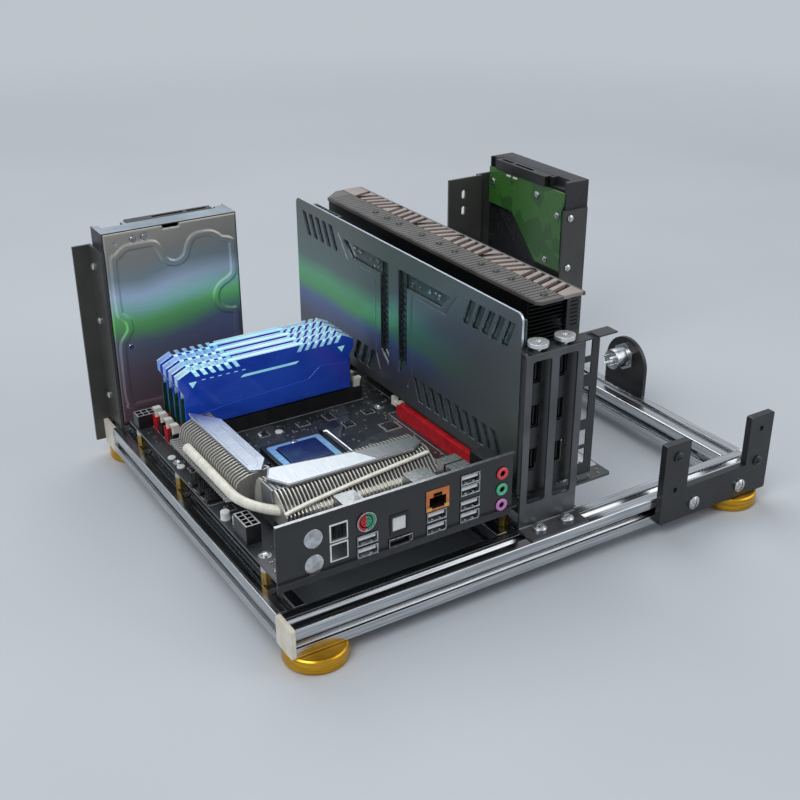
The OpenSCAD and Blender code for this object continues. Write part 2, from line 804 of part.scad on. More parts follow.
// A spreader is a folded shell over its module, with slanted vents at the top
module spreader_outline() {
    waist = 3.5;
    neck = memory_h - 17;
    l = spreader_l / 2;
    polygon([[-l + waist, spreader_foot], [l - waist, spreader_foot], [l - waist, neck],
        [l, neck + 6], [l, memory_h - spreader_chamfer[1]], [l - spreader_chamfer[0], memory_h],
        [-l + spreader_chamfer[0], memory_h], [-l, memory_h - spreader_chamfer[1]],
        [-l, neck + 6], [-l + waist, neck]]);
}
module heat_spreaders() {
    vent = 3;
    vent_h = 5;
    slant = 3.2;
    step = 6;
    first = 16;
    pocket = module_t + 2 * chip_t + 0.6;
    pocket_top = module_foot + module_h + 1;
    for (i = [0:memory_n - 1]) color([0.1, 0.3, 0.9]) memory_place(i) difference() {
        translate([0, -spreader_t / 2, 0]) upright_y(spreader_t) spreader_outline();
        translate([-spreader_l / 2 + 1.5, -pocket / 2, spreader_foot - cut])
            cube([spreader_l - 3, pocket, pocket_top - spreader_foot + cut]);
        for (s = [-1, 1], k = [0:5]) sided(s)
            translate([spreader_l / 2 - first - k * step, -spreader_t / 2 - cut, memory_h - vent_h])
                upright_y(spreader_t + 2 * cut) polygon([[0, 0], [vent, 0],
                    [vent + slant, vent_h + cut], [slant, vent_h + cut]]);
    }
}

// Power sockets and pin headers of black plastic
module cell_socket(cols, rows, h) {
    pitch = 4.2;
    wall = 0.8;
    difference() {
        cube([cols * pitch + 1.4, rows * pitch + 1.4, h]);
        for (x = [0:cols - 1], y = [0:rows - 1])
            translate([0.7 + x * pitch + wall / 2, 0.7 + y * pitch + wall / 2, 3])
                cube([pitch - wall, pitch - wall, h]);
    }
}
module pin_header(cols, rows) {
    pitch = 2.54;
    pin = 0.64;
    cube([cols * pitch, rows * pitch, 2.5]);
    for (x = [0:cols - 1], y = [0:rows - 1])
        translate([(x + 0.5) * pitch - pin / 2, (y + 0.5) * pitch - pin / 2, 0]) cube([pin, pin, 8.5]);
}
module board_headers() {
    color([0.12, 0.12, 0.12]) {
        on_board(1.4, 47.2) cell_socket(2, 4, 13);
        on_board(0.8, 224.5) cell_socket(3, 2, 10);
        on_board(board_w - 14, 150) cell_socket(2, 12, 13);
        on_board(0.6, 104) pin_header(4, 2);
        on_board(0.6, 116) pin_header(4, 2);
        on_board(0.6, 128) pin_header(4, 2);
        on_board(board_w - 66, board_d - 8) pin_header(9, 2);
        on_board(board_w - 26, board_d - 8) pin_header(5, 2);
    }
}

// Round capacitors and square chokes stand where the power stages are
module capacitors() {
    can_r = 3;
    can_h = 8;
    choke = 7;
    color([0.7, 0.7, 0.72]) {
        for (i = [0:6]) on_board(46.5, 88 + i * 9) cylinder(r = can_r, h = can_h);
        for (i = [0:7]) on_board(44 + i * 10, 82) cylinder(r = can_r, h = can_h);
        for (i = [0:4]) on_board(148 - can_r, 64 + i * 9) cylinder(r = can_r, h = can_h);
        for (p = [[board_w - 8, 20], [board_w - 16, 26], [board_w - 8, 32]])
            on_board(p[0], p[1]) cylinder(r = 2.6, h = 1.6);
        for (i = [0:3]) on_board(110 + i * 9, 82 + can_r) cube([choke, choke, 4]);
    }
}

module card_slot() {
    groove = card_t + 0.4;
    color("red") on_board(slot_x, 0) difference() {
        translate([-slot_t / 2, slot_y[0], 0]) cube([slot_t, slot_y[1] - slot_y[0], slot_h]);
        translate([-groove / 2, slot_y[0] + 1.5, 3]) cube([groove, slot_y[1] - slot_y[0] - 3, slot_h]);
    }
    color("red") on_board(slot_x, slot_y[1]) for (s = [-1, 1])
        translate([s * 3.1 - 0.7, -0.01, 0]) cube([1.4, 6, latch_hinge[1] + 2]);
}

// The latch hinges between two ears at the slot's end and hooks the card
module slot_latch() {
    wide = 4.2;
    bar = 3.2;
    reach = 12;
    tip = 3;
    color([0.95, 0.93, 0.88]) on_board(slot_x - wide / 2, slot_y[1] + latch_hinge[0], latch_hinge[1]) {
        rod_x(2.2, wide);
        translate([0, 0, -bar / 2]) cube([wide, reach, bar]);
        translate([0, reach - tip, -bar / 2]) cube([wide, tip, 6.6]);
        translate([0, -1.2, 0]) cube([wide, 2.6, slot_h - latch_hinge[1]]);
    }
}

// Fins side by side on a spine, each with a stepped outer edge
module stepped_fins(length, depth, h, shoulder) {
    n = floor((length - fin_t) / fin_pitch);
    play = (length - fin_t - n * fin_pitch) / 2;
    for (i = [0:n]) translate([play + i * fin_pitch, 0, 0]) upright_x(fin_t)
        polygon([[0, foot_gap + 4], [0, shoulder], [0.16 * depth, shoulder + 2.6], [0.16 * depth, 0.74 * h],
            [0.34 * depth, h - 2.4], [0.92 * depth, h - 2.4], [depth, 0.6 * h],
            [depth, foot_gap + 4]]);
    translate([0, 0.45 * depth, foot_gap]) cube([length, 0.35 * depth, h - 2.4 - foot_gap]);
    for (x = [0.1, 0.9]) translate([x * length, 0.62 * depth, 0]) cylinder(r = 2.5, h = foot_gap + 1);
}
module heatsink_lid(points, h) {
    translate([0, 0, h - 2.41]) linear_extrude(2.4) polygon(points);
}
module pipe_route(r) {
    straight_y = pipe_end - pipe_y - pipe_bend;
    straight_x = front_x[1] - 12 - pipe_x - pipe_bend;
    on_board(pipe_x, pipe_y + pipe_bend, pipe_z) rod_y(r, straight_y);
    on_board(pipe_x + pipe_bend, pipe_y, pipe_z) rod_x(r, straight_x);
    on_board(pipe_x + pipe_bend, pipe_y + pipe_bend, pipe_z) rotate(180)
        rotate_extrude(angle = 90) translate([pipe_bend, 0]) circle(r);
}
module side_heatsink() {
    length = side_y[1] - side_y[0];
    depth = side_x[1] - side_x[0] + 4;
    lid = [[11, 3], [18, 0], [depth, 12], [depth - 1, length - 20], [10, length], [9, length - 8]];
    color([0.7, 0.72, 0.74]) difference() {
        on_board(side_x[0] - 4, side_y[0]) {
            translate([0, length, 0]) rotate(-90) stepped_fins(length, depth, heatsink_h, 13);
            heatsink_lid(lid, heatsink_h);
        }
        pipe_route(pipe_r + 0.05);
    }
}
module front_heatsink() {
    length = front_x[1] - front_x[0];
    depth = front_y[1] - front_y[0];
    lid = [[4.4, 32], [12.7, 17.7], [length - 10, 16.5], [length - 2, 21.5], [length, 31.5],
        [length * 0.64, 33.2], [10.7, depth - 0.6]];
    color([0.72, 0.74, 0.76]) difference() {
        on_board(front_x[0], front_y[0]) {
            stepped_fins(length, depth, heatsink_h + 3, 20);
            heatsink_lid(lid, heatsink_h + 3);
            translate([1, 12.5, heatsink_h - 3.2]) cube([length - 2, 3, 2.6]);
        }
        pipe_route(pipe_r + 0.05);
    }
}
module heat_pipe() {
    color([0.9, 0.89, 0.84]) pipe_route(pipe_r);
}
module chipset_heatsink() {
    side = 46;
    color([0.25, 0.25, 0.27]) on_board(182, 168) difference() {
        cube([side, side, 9]);
        for (i = [0:6]) translate([4 + i * 6, -cut, 3.5]) cube([2.4, side + 2 * cut, 9]);
    }
}

// The card's own board, with its edge in the slot
module card_board() {
    low = board_top + slot_h + 1;
    edge = board_top + slot_h - card_slot_depth;
    y0 = bracket_y + bracket_t + gap;
    finger0 = board_y + slot_y[0] + 2;
    finger1 = board_y + slot_y[1] - 2;
    top = board_top + card_h - 4;
    color([0.05, 0.12, 0.08]) {
        translate([card_x - card_t / 2, 0, 0]) upright_x(card_t)
            polygon([[y0, low], [finger0, low], [finger0, edge], [finger1, edge], [finger1, low],
                [card_back - 10, low], [card_back - 4, low + 6], [card_back - 4, top], [y0, top]]);
        translate([card_x + card_t / 2 - 0.01, card_back - 50, top - 13]) difference() {
            cube([9, 40, 12]);
            for (i = [0:7], z = [0, 1])
                translate([1.2 + z * 4, 3 + i * 4.4, 4]) cube([3, 3, 9]);
        }
    }
}

// The backplate has two angled slots, back to back, and rows of slanted vents
module backplate_vents(n, y0, z0, h, slant, pitch, w) {
    for (i = [0:n - 1]) translate([y0 + i * pitch, z0])
        polygon([[0, 0], [w, 0], [w + slant, h], [slant, h]]);
}
module angled_slot(long, tall, w) {
    polygon([[0, 0], [w, 0.9 * w], [w, tall - w], [long - 1.1 * w, tall - w], [long, tall], [0, tall]]);
}
module card_backplate() {
    z0 = board_top + backplate_foot;
    z1 = board_top + card_h;
    y0 = bracket_y + bracket_t + gap;
    x = card_x - card_t / 2 - backplate_gap - backplate_t;
    middle = y0 + 0.5 * card_l;
    long = 0.22 * card_l;
    tall = 0.62 * card_h;
    arm = 11;
    vent_w = 7.4;
    color([0.25, 0.27, 0.28]) difference() {
        translate([x, 0, 0]) upright_x(backplate_t) difference() {
            translate([y0, z0]) rounded(card_back - y0, z1 - z0, 5);
            for (e = [-1, 1]) translate([middle + e * 6.6, z1 - 13.5 - tall]) sided(e)
                angled_slot(long, tall, arm);
            backplate_vents(10, y0 + 14, z0 + 7, 17, 7.5, 10.3, 7);
            backplate_vents(3, card_back - 113, z0 + 7, 17, -7.5, 10.3, vent_w);
            backplate_vents(5, y0 + 14, z1 - 26, 18, -8, 10.3, vent_w);
            backplate_vents(5, card_back - 66, z1 - 26, 18, 8.6, 10.4, 6);
        }
        for (e = [-1, 1]) translate([x - cut, middle + e * 25, 0]) upright_x(cut + 0.4)
            sided(e) polygon([[-7, z1 - 20 - tall], [-5.6, z1 - 20.6 - tall], [0, z1 - 9 - tall],
                [0, z1 - 28], [40, z1 - 28], [54, z1 - 11], [52.6, z1 - 10.4], [39.4, z1 - 26.6],
                [-1.4, z1 - 26.6], [-1.4, z1 - 8.6 - tall]]);
    }
    color([0.25, 0.27, 0.28]) for (y = [y0 + 8, middle, card_back - 12], z = [z0 + 30, z1 - 6])
        translate([x + backplate_t - 0.01, y, z]) rod_x(2.5, backplate_gap);
}

// Level fin plates between a wall and the shroud, on a cold plate that lies
// against the card's board
function cooler_outline(w, l, nose) = [[0, nose], [nose, 0], [w, 0], [w, l], [14, l], [0, l - 12]];
module card_fins() {
    y0 = bracket_y + 22;
    y1 = card_back - 4;
    h = fin_top - fin_low;
    pad = card_x + card_t / 2;
    depth = shroud_x - gap - fins_x;
    color([0.12, 0.12, 0.13]) {
        for (i = [0:fin_n]) translate([fins_x, y0, fin_low + i * plate_pitch])
            linear_extrude(plate_thick) polygon(cooler_outline(depth, y1 - y0, 1));
        translate([fins_x, y0 + 1, fin_low]) cube([1, y1 - y0 - 13, h]);
        for (y = [0.22, 0.5, 0.78]) translate([fins_x + 0.5, y0 + y * (y1 - y0) - 16, fin_low])
            cube([depth - 4, 32, h]);
        translate([pad + 3.5, y0 + 8, fin_low + 6])
            cube([fins_x - pad - 3.5 + 0.01, y1 - y0 - 70, h - 24]);
        translate([pad, y0 + 90, fin_low + 22]) cube([4, 60, 44]);
    }
}

// The cover over the fins has leaning slits in one half, which change sides
// after every fourth, and fine grooves and bosses on the other
module leaning_slit(l, w, lean) {
    polygon([[0, -lean], [l, lean], [l, lean + w], [0, w - lean]]);
}
module card_top() {
    y0 = bracket_y + 13;
    y1 = card_back - 2;
    w = card_right - fins_x - 2.5;
    h = fin_top;
    slit = 3;
    lean = 2.4;
    pitch = 8.2;
    n = floor((y1 - y0 - 26) / pitch);
    bosses = [0.03, 0.15, 0.21, 0.27, 0.38, 0.45, 0.53, 0.64, 0.7, 0.76];
    color([0.4, 0.38, 0.36]) {
        translate([fins_x, y0, h]) difference() {
            linear_extrude(cover_t) polygon(cooler_outline(w, y1 - y0, 3));
            for (i = [0:n]) if (i % 5 != 4) translate([w * 0.54, 10 + i * pitch, -cut])
                linear_extrude(cover_t + 2 * cut) leaning_slit(w * 0.4, slit, i % 10 < 5 ? lean : -lean);
            for (i = [0:floor((y1 - y0 - 20) / 4)]) translate([3, 5 + i * 4, cover_t - 0.5])
                cube([w * 0.44, 0.8, 1]);
        }
        for (b = bosses) translate([fins_x + w * 0.3, y0 + b * (y1 - y0), h + cover_t - 0.01])
            cylinder(r1 = 2.8, r2 = 2.2, h = 1);
    }
}

// The shroud holds three fans, each on an axle in the middle of three arms
module card_shroud() {
    y0 = bracket_y + 20;
    y1 = card_back - 4;
    z0 = board_top + 26;
    z1 = fin_top;
    ring = fan_d / 2 + fan_gap;
    arm_t = 1.6;
    color([0.1, 0.1, 0.11]) {
        difference() {
            translate([shroud_x, 0, 0]) upright_x(shroud_t) difference() {
                translate([y0, z0]) rounded(y1 - y0, z1 - z0, 3);
                for (y = fan_y) translate([y, fan_z]) circle(ring, $fn = 96);
            }
            for (k = [1:8]) translate([shroud_x + 3, y0 - cut, z1 - 1 - k * plate_pitch])
                cube([shroud_t, 1.5 + cut, plate_pitch / 2]);
        }
        for (y = fan_y) translate([shroud_x, y, fan_z]) {
            rod_x(hub_r - 2, arm_t);
            rod_x(axle_r, shroud_t - 2);
            for (a = [30, 150, 270]) rotate([a, 0, 0])
                translate([0, -2, hub_r - 4]) cube([arm_t, 4, ring - hub_r + 5]);
        }
    }
}

// A rotor: a cupped hub and swept blades cut from slanted slabs
module rotor(y) {
    back_x = 2.4;
    depth = shroud_t - back_x - 0.6;
    pitch_angle = 32;
    blade_t = 1.2;
    color([0.13, 0.13, 0.14]) translate([shroud_x + back_x, y, fan_z]) difference() {
        union() {
            rod_x(hub_r, depth);
            intersection() {
                rod_x(fan_d / 2, depth - 0.6);
                for (a = [0:360 / fan_blades:359]) rotate([a, 0, 0])
                    translate([depth / 2 - 0.3, 0, hub_r - 2]) rotate([0, 0, pitch_angle])
                        translate([-blade_t / 2, -14, 0]) cube([blade_t, 28, fan_d / 2]);
            }
        }
        translate([-cut, 0, 0]) rod_x(axle_r + axle_play, depth + 2 * cut);
        translate([-cut, 0, 0]) rod_x(hub_r - 1.6, 3 + cut);
    }
}
module fan_front() rotor(fan_y[0]);
module fan_middle() rotor(fan_y[1]);
module fan_rear() rotor(fan_y[2]);

// The card's bracket spans three slots, and its tabs lie on the slot bracket
module card_bracket() {
    x0 = first_slot - blade_w / 2 - 1;
    x1 = first_slot + (card_slots - 1) * card_pitch + blade_w / 2 + 0.4;
    tab_y = bracket_y - 9;
    notch = 4.4;
    screw_room = 2.6;
    vents = [[11, 11], [24.6, 11], [43, 23.6], [75, 8.3], [87.5, 11]];
    color([0.13, 0.13, 0.13]) difference() {
        union() {
            translate([x0, bracket_y, board_top + screw_room])
                cube([x1 - x0, bracket_t, flange_z + bracket_t - board_top - screw_room]);
            translate([x0, tab_y, flange_z])
                cube([x1 - x0 + 6, bracket_y + bracket_t - tab_y, bracket_t]);
        }
        for (z = port_rows, i = [0, 1])
            translate([first_slot + i * card_pitch - 1.8, bracket_y - cut, z - 7.9])
                cube([6.4, 4, 15.8]);
        for (i = [0:2]) translate([first_slot + i * card_pitch - notch / 2 - 2, tab_y - cut, flange_z - cut])
            cube([notch, thumb_y + notch / 2 - tab_y + cut, 4]);
        for (v = vents) translate([first_slot + 2 * card_pitch - 5, bracket_y - cut, board_top + v[0]])
            cube([8.6, 4, v[1]]);
    }
}

// A folded sheet: a foot on the front rail, a wall with two windows, a flange
module slot_bracket() {
    foot_d0 = holder_y - front - 1;
    h = flange_z - deck;
    color([0.45, 0.45, 0.46]) difference() {
        translate([holder_x, holder_y, deck]) upright_x(holder_w) {
            translate([-foot_d0, 0]) square([foot_d0 - bend_r, sheet]);
            translate([0, bend_r + sheet]) square([sheet, h - 2 * bend_r - 2 * sheet]);
            translate([-bend_r, bend_r + sheet]) intersection() {
                difference() {
                    circle(bend_r + sheet);
                    circle(bend_r);
                }
                translate([0, -bend_r - sheet]) square(bend_r + sheet);
            }
            translate([bend_r + sheet, h - bend_r - sheet]) intersection() {
                difference() {
                    circle(bend_r + sheet);
                    circle(bend_r);
                }
                translate([-bend_r - sheet, 0]) square(bend_r + sheet);
            }
            translate([bend_r + sheet, h - sheet]) square([flange_d - bend_r - sheet, sheet]);
        }
        for (i = [0, 1]) translate([first_slot + i * card_pitch - window_w / 2, holder_y - cut, window_z[0]])
            upright_y(sheet + 2 * cut) rounded(window_w, window_z[1] - window_z[0], 2);
        for (p = holder_screws) translate([p[0], p[1], deck - cut])
            cylinder(r = m5_head[2] + 0.2, h = sheet + 2 * cut);
        for (i = [0, 1]) translate([first_slot + i * card_pitch - 2, thumb_y, flange_z - 4])
            cylinder(r = 1.85, h = 6);
    }
}
module thumb_screws() {
    head_r = 6.6;
    neck_r = 3.4;
    z = flange_z + bracket_t;
    for (i = [0, 1]) color("silver")
        translate([first_slot + i * card_pitch - 2, thumb_y, z]) {
            cylinder(r = neck_r, h = 2);
            translate([0, 0, 2]) difference() {
                cylinder(r = head_r, h = 2.6);
                translate([0, 0, 1.6]) cylinder(r = 1.6, h = 2);
            }
            translate([0, 0, -4]) cylinder(r = 1.75, h = 4.01);
        }
}

// Both drives are drawn lying against the X axis and then stood in place
module stand_left() {
    translate([left_drive_x, left_drive_y, drive_z]) children();
}
module stand_right() {
    translate([right_drive_x + drive_t, right_drive_y - drive_w, drive_z]) rotate(90) children();
}

// A cast case, open behind for its board, with screw holes in both sides
module drive_case() {
    y0 = cover_t_drive;
    pocket = 5;
    board_in = drive_t - drive_board_t - 1;
    difference() {
        translate([0, y0, 0]) linear_extrude(drive_l) {
            translate([0, 0]) square([drive_w, drive_t - y0 - 1]);
            translate([1, 0]) square([drive_w - 2, drive_t - y0]);
        }
        difference() {
            translate([-cut, drive_t - pocket, 0.46 * drive_l])
                cube([drive_w + 2 * cut, pocket + cut, drive_l]);
            for (p = DRIVE_POSTS) translate([p[0], 0, p[1]]) rod_y(3, board_in);
            for (x = [-cut, drive_w - 1.4]) translate([x, 0, 0]) cube([1.4 + cut, board_in, drive_l]);
        }
        translate([24, drive_t - pocket - 4.6, drive_l - 9]) cube([69, pocket + 5, 9 + cut]);
        translate([5, drive_t - pocket - 6, drive_l - 7]) cube([16, 6 + cut, 7 + cut]);
        for (p = DRIVE_POSTS) translate([p[0], 12, p[1]]) rod_y(m3_head[2] + 0.1, drive_t);
        for (s = [drive_hole_top, drive_hole_top + drive_hole_step, drive_hole_top + drive_hole_far],
            x = [-cut, drive_w - 6])
            translate([x, drive_t - 6.35, drive_l - s]) rod_x(m3_head[2] + 0.1, 6 + cut);
    }
    translate([0, drive_t - pocket - 0.01, 0.46 * drive_l]) upright_y(1.2) for (k = [0:2])
        polygon([[41 + 6 * k, 0], [43 + 6 * k, 0], [81 + 6 * k, 38], [79 + 6 * k, 38]]);
}
module drive_cases() {
    color([0.2, 0.2, 0.21]) {
        stand_left() drive_case();
        stand_right() drive_case();
    }
}

// The pressed cover has a raised bead that runs round between its screws: its
// middle line is BEAD, and each side lies half a width along the line's normal
function ahead(i, n) = (i + 1) % n;
function behind(i, n) = (i + n - 1) % n;
function unit(v) = v / norm(v);
function normal(i, n) = let (d = unit(BEAD[ahead(i, n)] - BEAD[behind(i, n)])) [d[1], -d[0]];
function bead_side(w) = let (n = len(BEAD)) [for (i = [0:n - 1]) BEAD[i] + w * normal(i, n)];
module drive_cover() {
    color([0.75, 0.77, 0.78]) {
        difference() {
            upright_y(cover_t_drive) translate([0.8, 0.8]) rounded(drive_w - 1.6, drive_l - 1.6, 3);
            translate([0.46 * drive_w, -cut, drive_l - 3.4]) cube([9.6, 3, 6]);
        }
        translate([0, -bead_h, 0]) upright_y(bead_h + 0.01) difference() {
            polygon(bead_side(bead_w / 2));
            polygon(bead_side(-bead_w / 2));
        }
    }
}
module drive_covers() {
    stand_left() drive_cover();
    stand_right() drive_cover();
}

// The drive's board carries the socket for its data and power plugs
module drive_board() {
    t = drive_board_t;
    y = drive_t - t - 1;
    w = drive_w - 0.8;
    plug = 66;
    color("darkgreen") difference() {
        translate([0, y, 0]) upright_y(t) polygon([[0.8, drive_l - 8.2], [0.8, drive_l - 18],
            [3.2, drive_l - 25], [2, drive_l / 2], [34, drive_l / 2], [67.5, drive_l - 40],
            [w, drive_l - 39], [w, drive_l - 8.2]]);
        for (p = DRIVE_POSTS) translate([p[0], 0, p[1]]) rod_y(m3_head[2] + 0.1, drive_t);
    }
    color([0.1, 0.1, 0.11]) translate([25, drive_t - 9, drive_l - 8.21]) difference() {
        cube([plug, 8.6, 8.2]);
        translate([20, 3, 2]) cube([24, 3.2, 8]);
        translate([47, 3, 2]) cube([15, 3.2, 8]);
    }
}
module drive_boards() {
    stand_left() drive_board();
    stand_right() drive_board();
}

// Angles of folded sheet: one leg on the drive's side, one on the rail
module drive_angles() {
    hole = m3_head[2] + 0.15;
    rail_hole = m5_head[2] + 0.2;
    rows = [drive_hole_top, drive_hole_top + drive_hole_step, drive_hole_top + drive_hole_far];
    color([0.22, 0.21, 0.2]) {
        difference() {
            union() {
                translate([left_drive_x - angle_t, left_drive_y, deck + gap])
                    cube([angle_t, drive_t + angle_t, angle_top - deck - gap]);
                translate([left_drive_x - angle_leg, back, base + 3])
                    cube([angle_leg, angle_t, angle_top - base - 3]);
                translate([left_drive_x - angle_leg, back, base + 3])
                    cube([angle_leg + 14, angle_t, rail - 6]);
            }
            for (s = rows)
                translate([left_drive_x - angle_t - cut, left_drive_y + drive_t - 6.35, drive_top - s])
                    rod_x(hole, angle_t + 2 * cut);
            translate([left + cap_t + nut_l / 2 + 2, back - cut, mid]) rod_y(rail_hole, angle_t + 2 * cut);
        }
        difference() {
            union() {
                translate([right_drive_x, right_drive_y - drive_w - angle_t, deck])
                    cube([drive_t - 2, angle_t, angle_top - 8 - deck]);
                translate([right_drive_x, right_drive_y - drive_w - angle_t - 17, deck])
                    cube([right - right_drive_x, 18, angle_t]);
            }
            for (s = [rows[0], rows[1]])
                translate([right_drive_x + 6.35, right_drive_y - drive_w - angle_t - cut, drive_top - s])
                    rod_y(hole, angle_t + 2 * cut);
            translate([angle_screw[0], angle_screw[1], deck - cut])
                cylinder(r = rail_hole, h = angle_t + 2 * cut);
        }
    }
}

// A joggled plate from the back rail to the right drive's far side
module drive_plate() {
    wide = right_drive_x + drive_t - drive_plate_x;
    step = right_drive_x - drive_plate_x - 11;
    hole = m3_head[2] + 0.15;
    slit_r = 2;
    slit_l = 7.5;
    color([0.3, 0.29, 0.28]) difference() {
        union() {
            translate([drive_plate_x, back, base + 3]) cube([step, angle_t, angle_top - base - 3]);
            translate([drive_plate_x + step - 0.01, back, deck + gap])
                cube([angle_t, 4 + angle_t, angle_top - deck - gap]);
            translate([drive_plate_x + step, right_drive_y, deck + gap])
                cube([wide - step, angle_t, angle_top - deck - gap]);
        }
        for (z = [angle_top - 14, angle_top - 28]) translate([drive_plate_x + 15, back - cut, z])
            upright_y(angle_t + 2 * cut) {
                square([2 * slit_r, slit_l - 2 * slit_r], center = true);
                for (e = [-1, 1]) translate([0, e * (slit_l / 2 - slit_r)]) circle(slit_r);
            }
        for (s = [drive_hole_top, drive_hole_top + drive_hole_step])
            translate([right_drive_x + 6.35, right_drive_y - cut, drive_top - s])
                rod_y(hole, angle_t + 2 * cut);
        translate([plate_screw_x, back - cut, mid]) rod_y(m5_head[2] + 0.2, angle_t + 2 * cut);
    }
}

// The power button stands in a plate with a half round top
module switch_plate() {
    r = switch_w / 2;
    color([0.12, 0.12, 0.12]) difference() {
        translate([right, switch_y, 0]) upright_x(switch_t) {
            translate([-r, base + 2]) square([switch_w, switch_z - r - base - 2]);
            translate([0, switch_z - r]) circle(r, $fn = 96);
        }
        translate([right - cut, switch_y, barrel_z]) rod_x(barrel_d / 2 + 0.1, switch_t + 2 * cut);
        for (y = switch_screw_y) translate([right - cut, y, mid])
            rod_x(m5_head[2] + 0.2, switch_t + 2 * cut);
    }
}
module switch_barrel() {
    inner = button_r + button_play;
    well = button_l - button_proud + button_travel + gap;
    pin = 0.9;
    pin_l = 5;
    color("silver") translate([right + switch_t, switch_y, barrel_z]) {
        difference() {
            union() {
                rod_x(bezel_r, 0.6 * bezel_h);
                translate([0.6 * bezel_h - 0.01, 0, 0]) rod_x(bezel_r - 1, 0.4 * bezel_h + 0.01);
                translate([-barrel_l, 0, 0]) rod_x(barrel_d / 2, barrel_l + 0.01);
            }
            translate([bezel_h - well, 0, 0]) rod_x(inner, well + cut);
        }
        for (a = [45:90:315]) rotate([a, 0, 0]) translate([-barrel_l - pin_l, -pin, 4])
            cube([pin_l + 0.01, 2 * pin, 0.8]);
    }
}
module switch_nut() {
    nut_h = 3;
    color("silver") translate([right - nut_h, switch_y, barrel_z]) difference() {
        rotate([0, 90, 0]) cylinder(r = barrel_d / 2 + 3.4, h = nut_h, $fn = 6);
        translate([-cut, 0, 0]) rod_x(barrel_d / 2 + 0.1, nut_h + 2 * cut);
    }
}
module switch_button() {
    color("lightgray") translate([right + switch_t + bezel_h + button_proud, switch_y, barrel_z])
        mirror([1, 0, 0]) rod_x(button_r, button_l);
}

// The power supply's plate: a bar on the rail with an upright at each end
module supply_plate() {
    hole = 1.9;
    color([0.1, 0.1, 0.1]) difference() {
        translate([supply_x, front - supply_t, supply_foot]) upright_y(supply_t) {
            rounded(supply_w, bar_h, 1.5);
            translate([0, 0]) rounded(upright_w, supply_h, 1.5);
            translate([supply_w - upright_w, 0]) rounded(upright_w, supply_h, 1.5);
        }
        for (x = [supply_x + supply_hole, supply_x + supply_w - supply_hole], z = supply_rows)
            translate([x, front - supply_t - cut, z]) rod_y(hole, supply_t + 2 * cut);
        for (x = supply_screw_x) translate([x, front - supply_t - cut, mid])
            rod_y(m5_head[2] + 0.2, supply_t + 2 * cut);
    }
}
module supply_screws() {
    size = [3.9, 2.3, 1.75];
    for (p = [[supply_hole, supply_rows[1]], [supply_w - supply_hole, supply_rows[0]]])
        color([0.1, 0.1, 0.1]) translate([supply_x + p[0], front - supply_t, p[1]])
            rotate([90, 0, 0]) pan_screw(size, supply_t + 1, 0.9);
}

front_rail();
back_rail();
left_rail();
right_rail();
support_rails();
end_caps();
corner_joiners();
feet();
slot_nuts();
rail_screws();
standoffs();
small_screws();
mainboard();
io_shield();
ps2_port();
usb_ports();
lan_port();
display_ports();
optical_port();
optical_door();
audio_jacks();
socket_frame();
processor();
load_plate();
socket_lever();
red_sockets();
black_sockets();
socket_latches();
memory_boards();
heat_spreaders();
board_headers();
capacitors();
card_slot();
slot_latch();
side_heatsink();
front_heatsink();
heat_pipe();
chipset_heatsink();
card_board();
card_backplate();
card_fins();
card_top();
card_shroud();
fan_front();
fan_middle();
fan_rear();
card_bracket();
slot_bracket();
thumb_screws();
drive_cases();
drive_covers();
drive_boards();
drive_angles();
drive_plate();
switch_plate();
switch_barrel();
switch_nut();
switch_button();
supply_plate();
supply_screws();
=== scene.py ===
# %% [markdown]
# # An open air test bench: from a measured frame to its finished looks
#
# The bench is a low frame of slotted aluminium rails that carries a mainboard,
# a graphics card, two disk drives, a power button and a plate for a power
# supply. Its sizes are already fixed by a CAD model, so this lesson never
# moves anything: it gives each piece its finish, breaks its edges, and
# rebuilds the pieces whose curves need a finer surface.

# %% Load the measured frame
import math
import bpy
import bmesh
import numpy as np
from mathutils import Matrix


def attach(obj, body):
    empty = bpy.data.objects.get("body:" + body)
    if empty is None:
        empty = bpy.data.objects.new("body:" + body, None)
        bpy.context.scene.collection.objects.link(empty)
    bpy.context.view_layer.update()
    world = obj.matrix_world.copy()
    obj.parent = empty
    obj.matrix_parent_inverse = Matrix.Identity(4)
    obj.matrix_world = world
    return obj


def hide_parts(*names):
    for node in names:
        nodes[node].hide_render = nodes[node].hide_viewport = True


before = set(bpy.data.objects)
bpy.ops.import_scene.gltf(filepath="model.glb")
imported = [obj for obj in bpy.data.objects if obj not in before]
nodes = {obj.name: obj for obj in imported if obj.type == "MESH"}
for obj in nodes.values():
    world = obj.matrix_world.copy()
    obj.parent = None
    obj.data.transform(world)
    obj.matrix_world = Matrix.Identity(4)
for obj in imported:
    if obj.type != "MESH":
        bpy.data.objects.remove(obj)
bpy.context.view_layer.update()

# %% [markdown]
# ## Sizes that the pieces share
#
# All numbers are millimetres in the frame's own axes: X along the front rail,
# Y to the back and Z up. They repeat the CAD model's sizes, because a new
# piece has to sit exactly where the CAD piece sits. Only the last step of
# making a mesh turns them into metres.

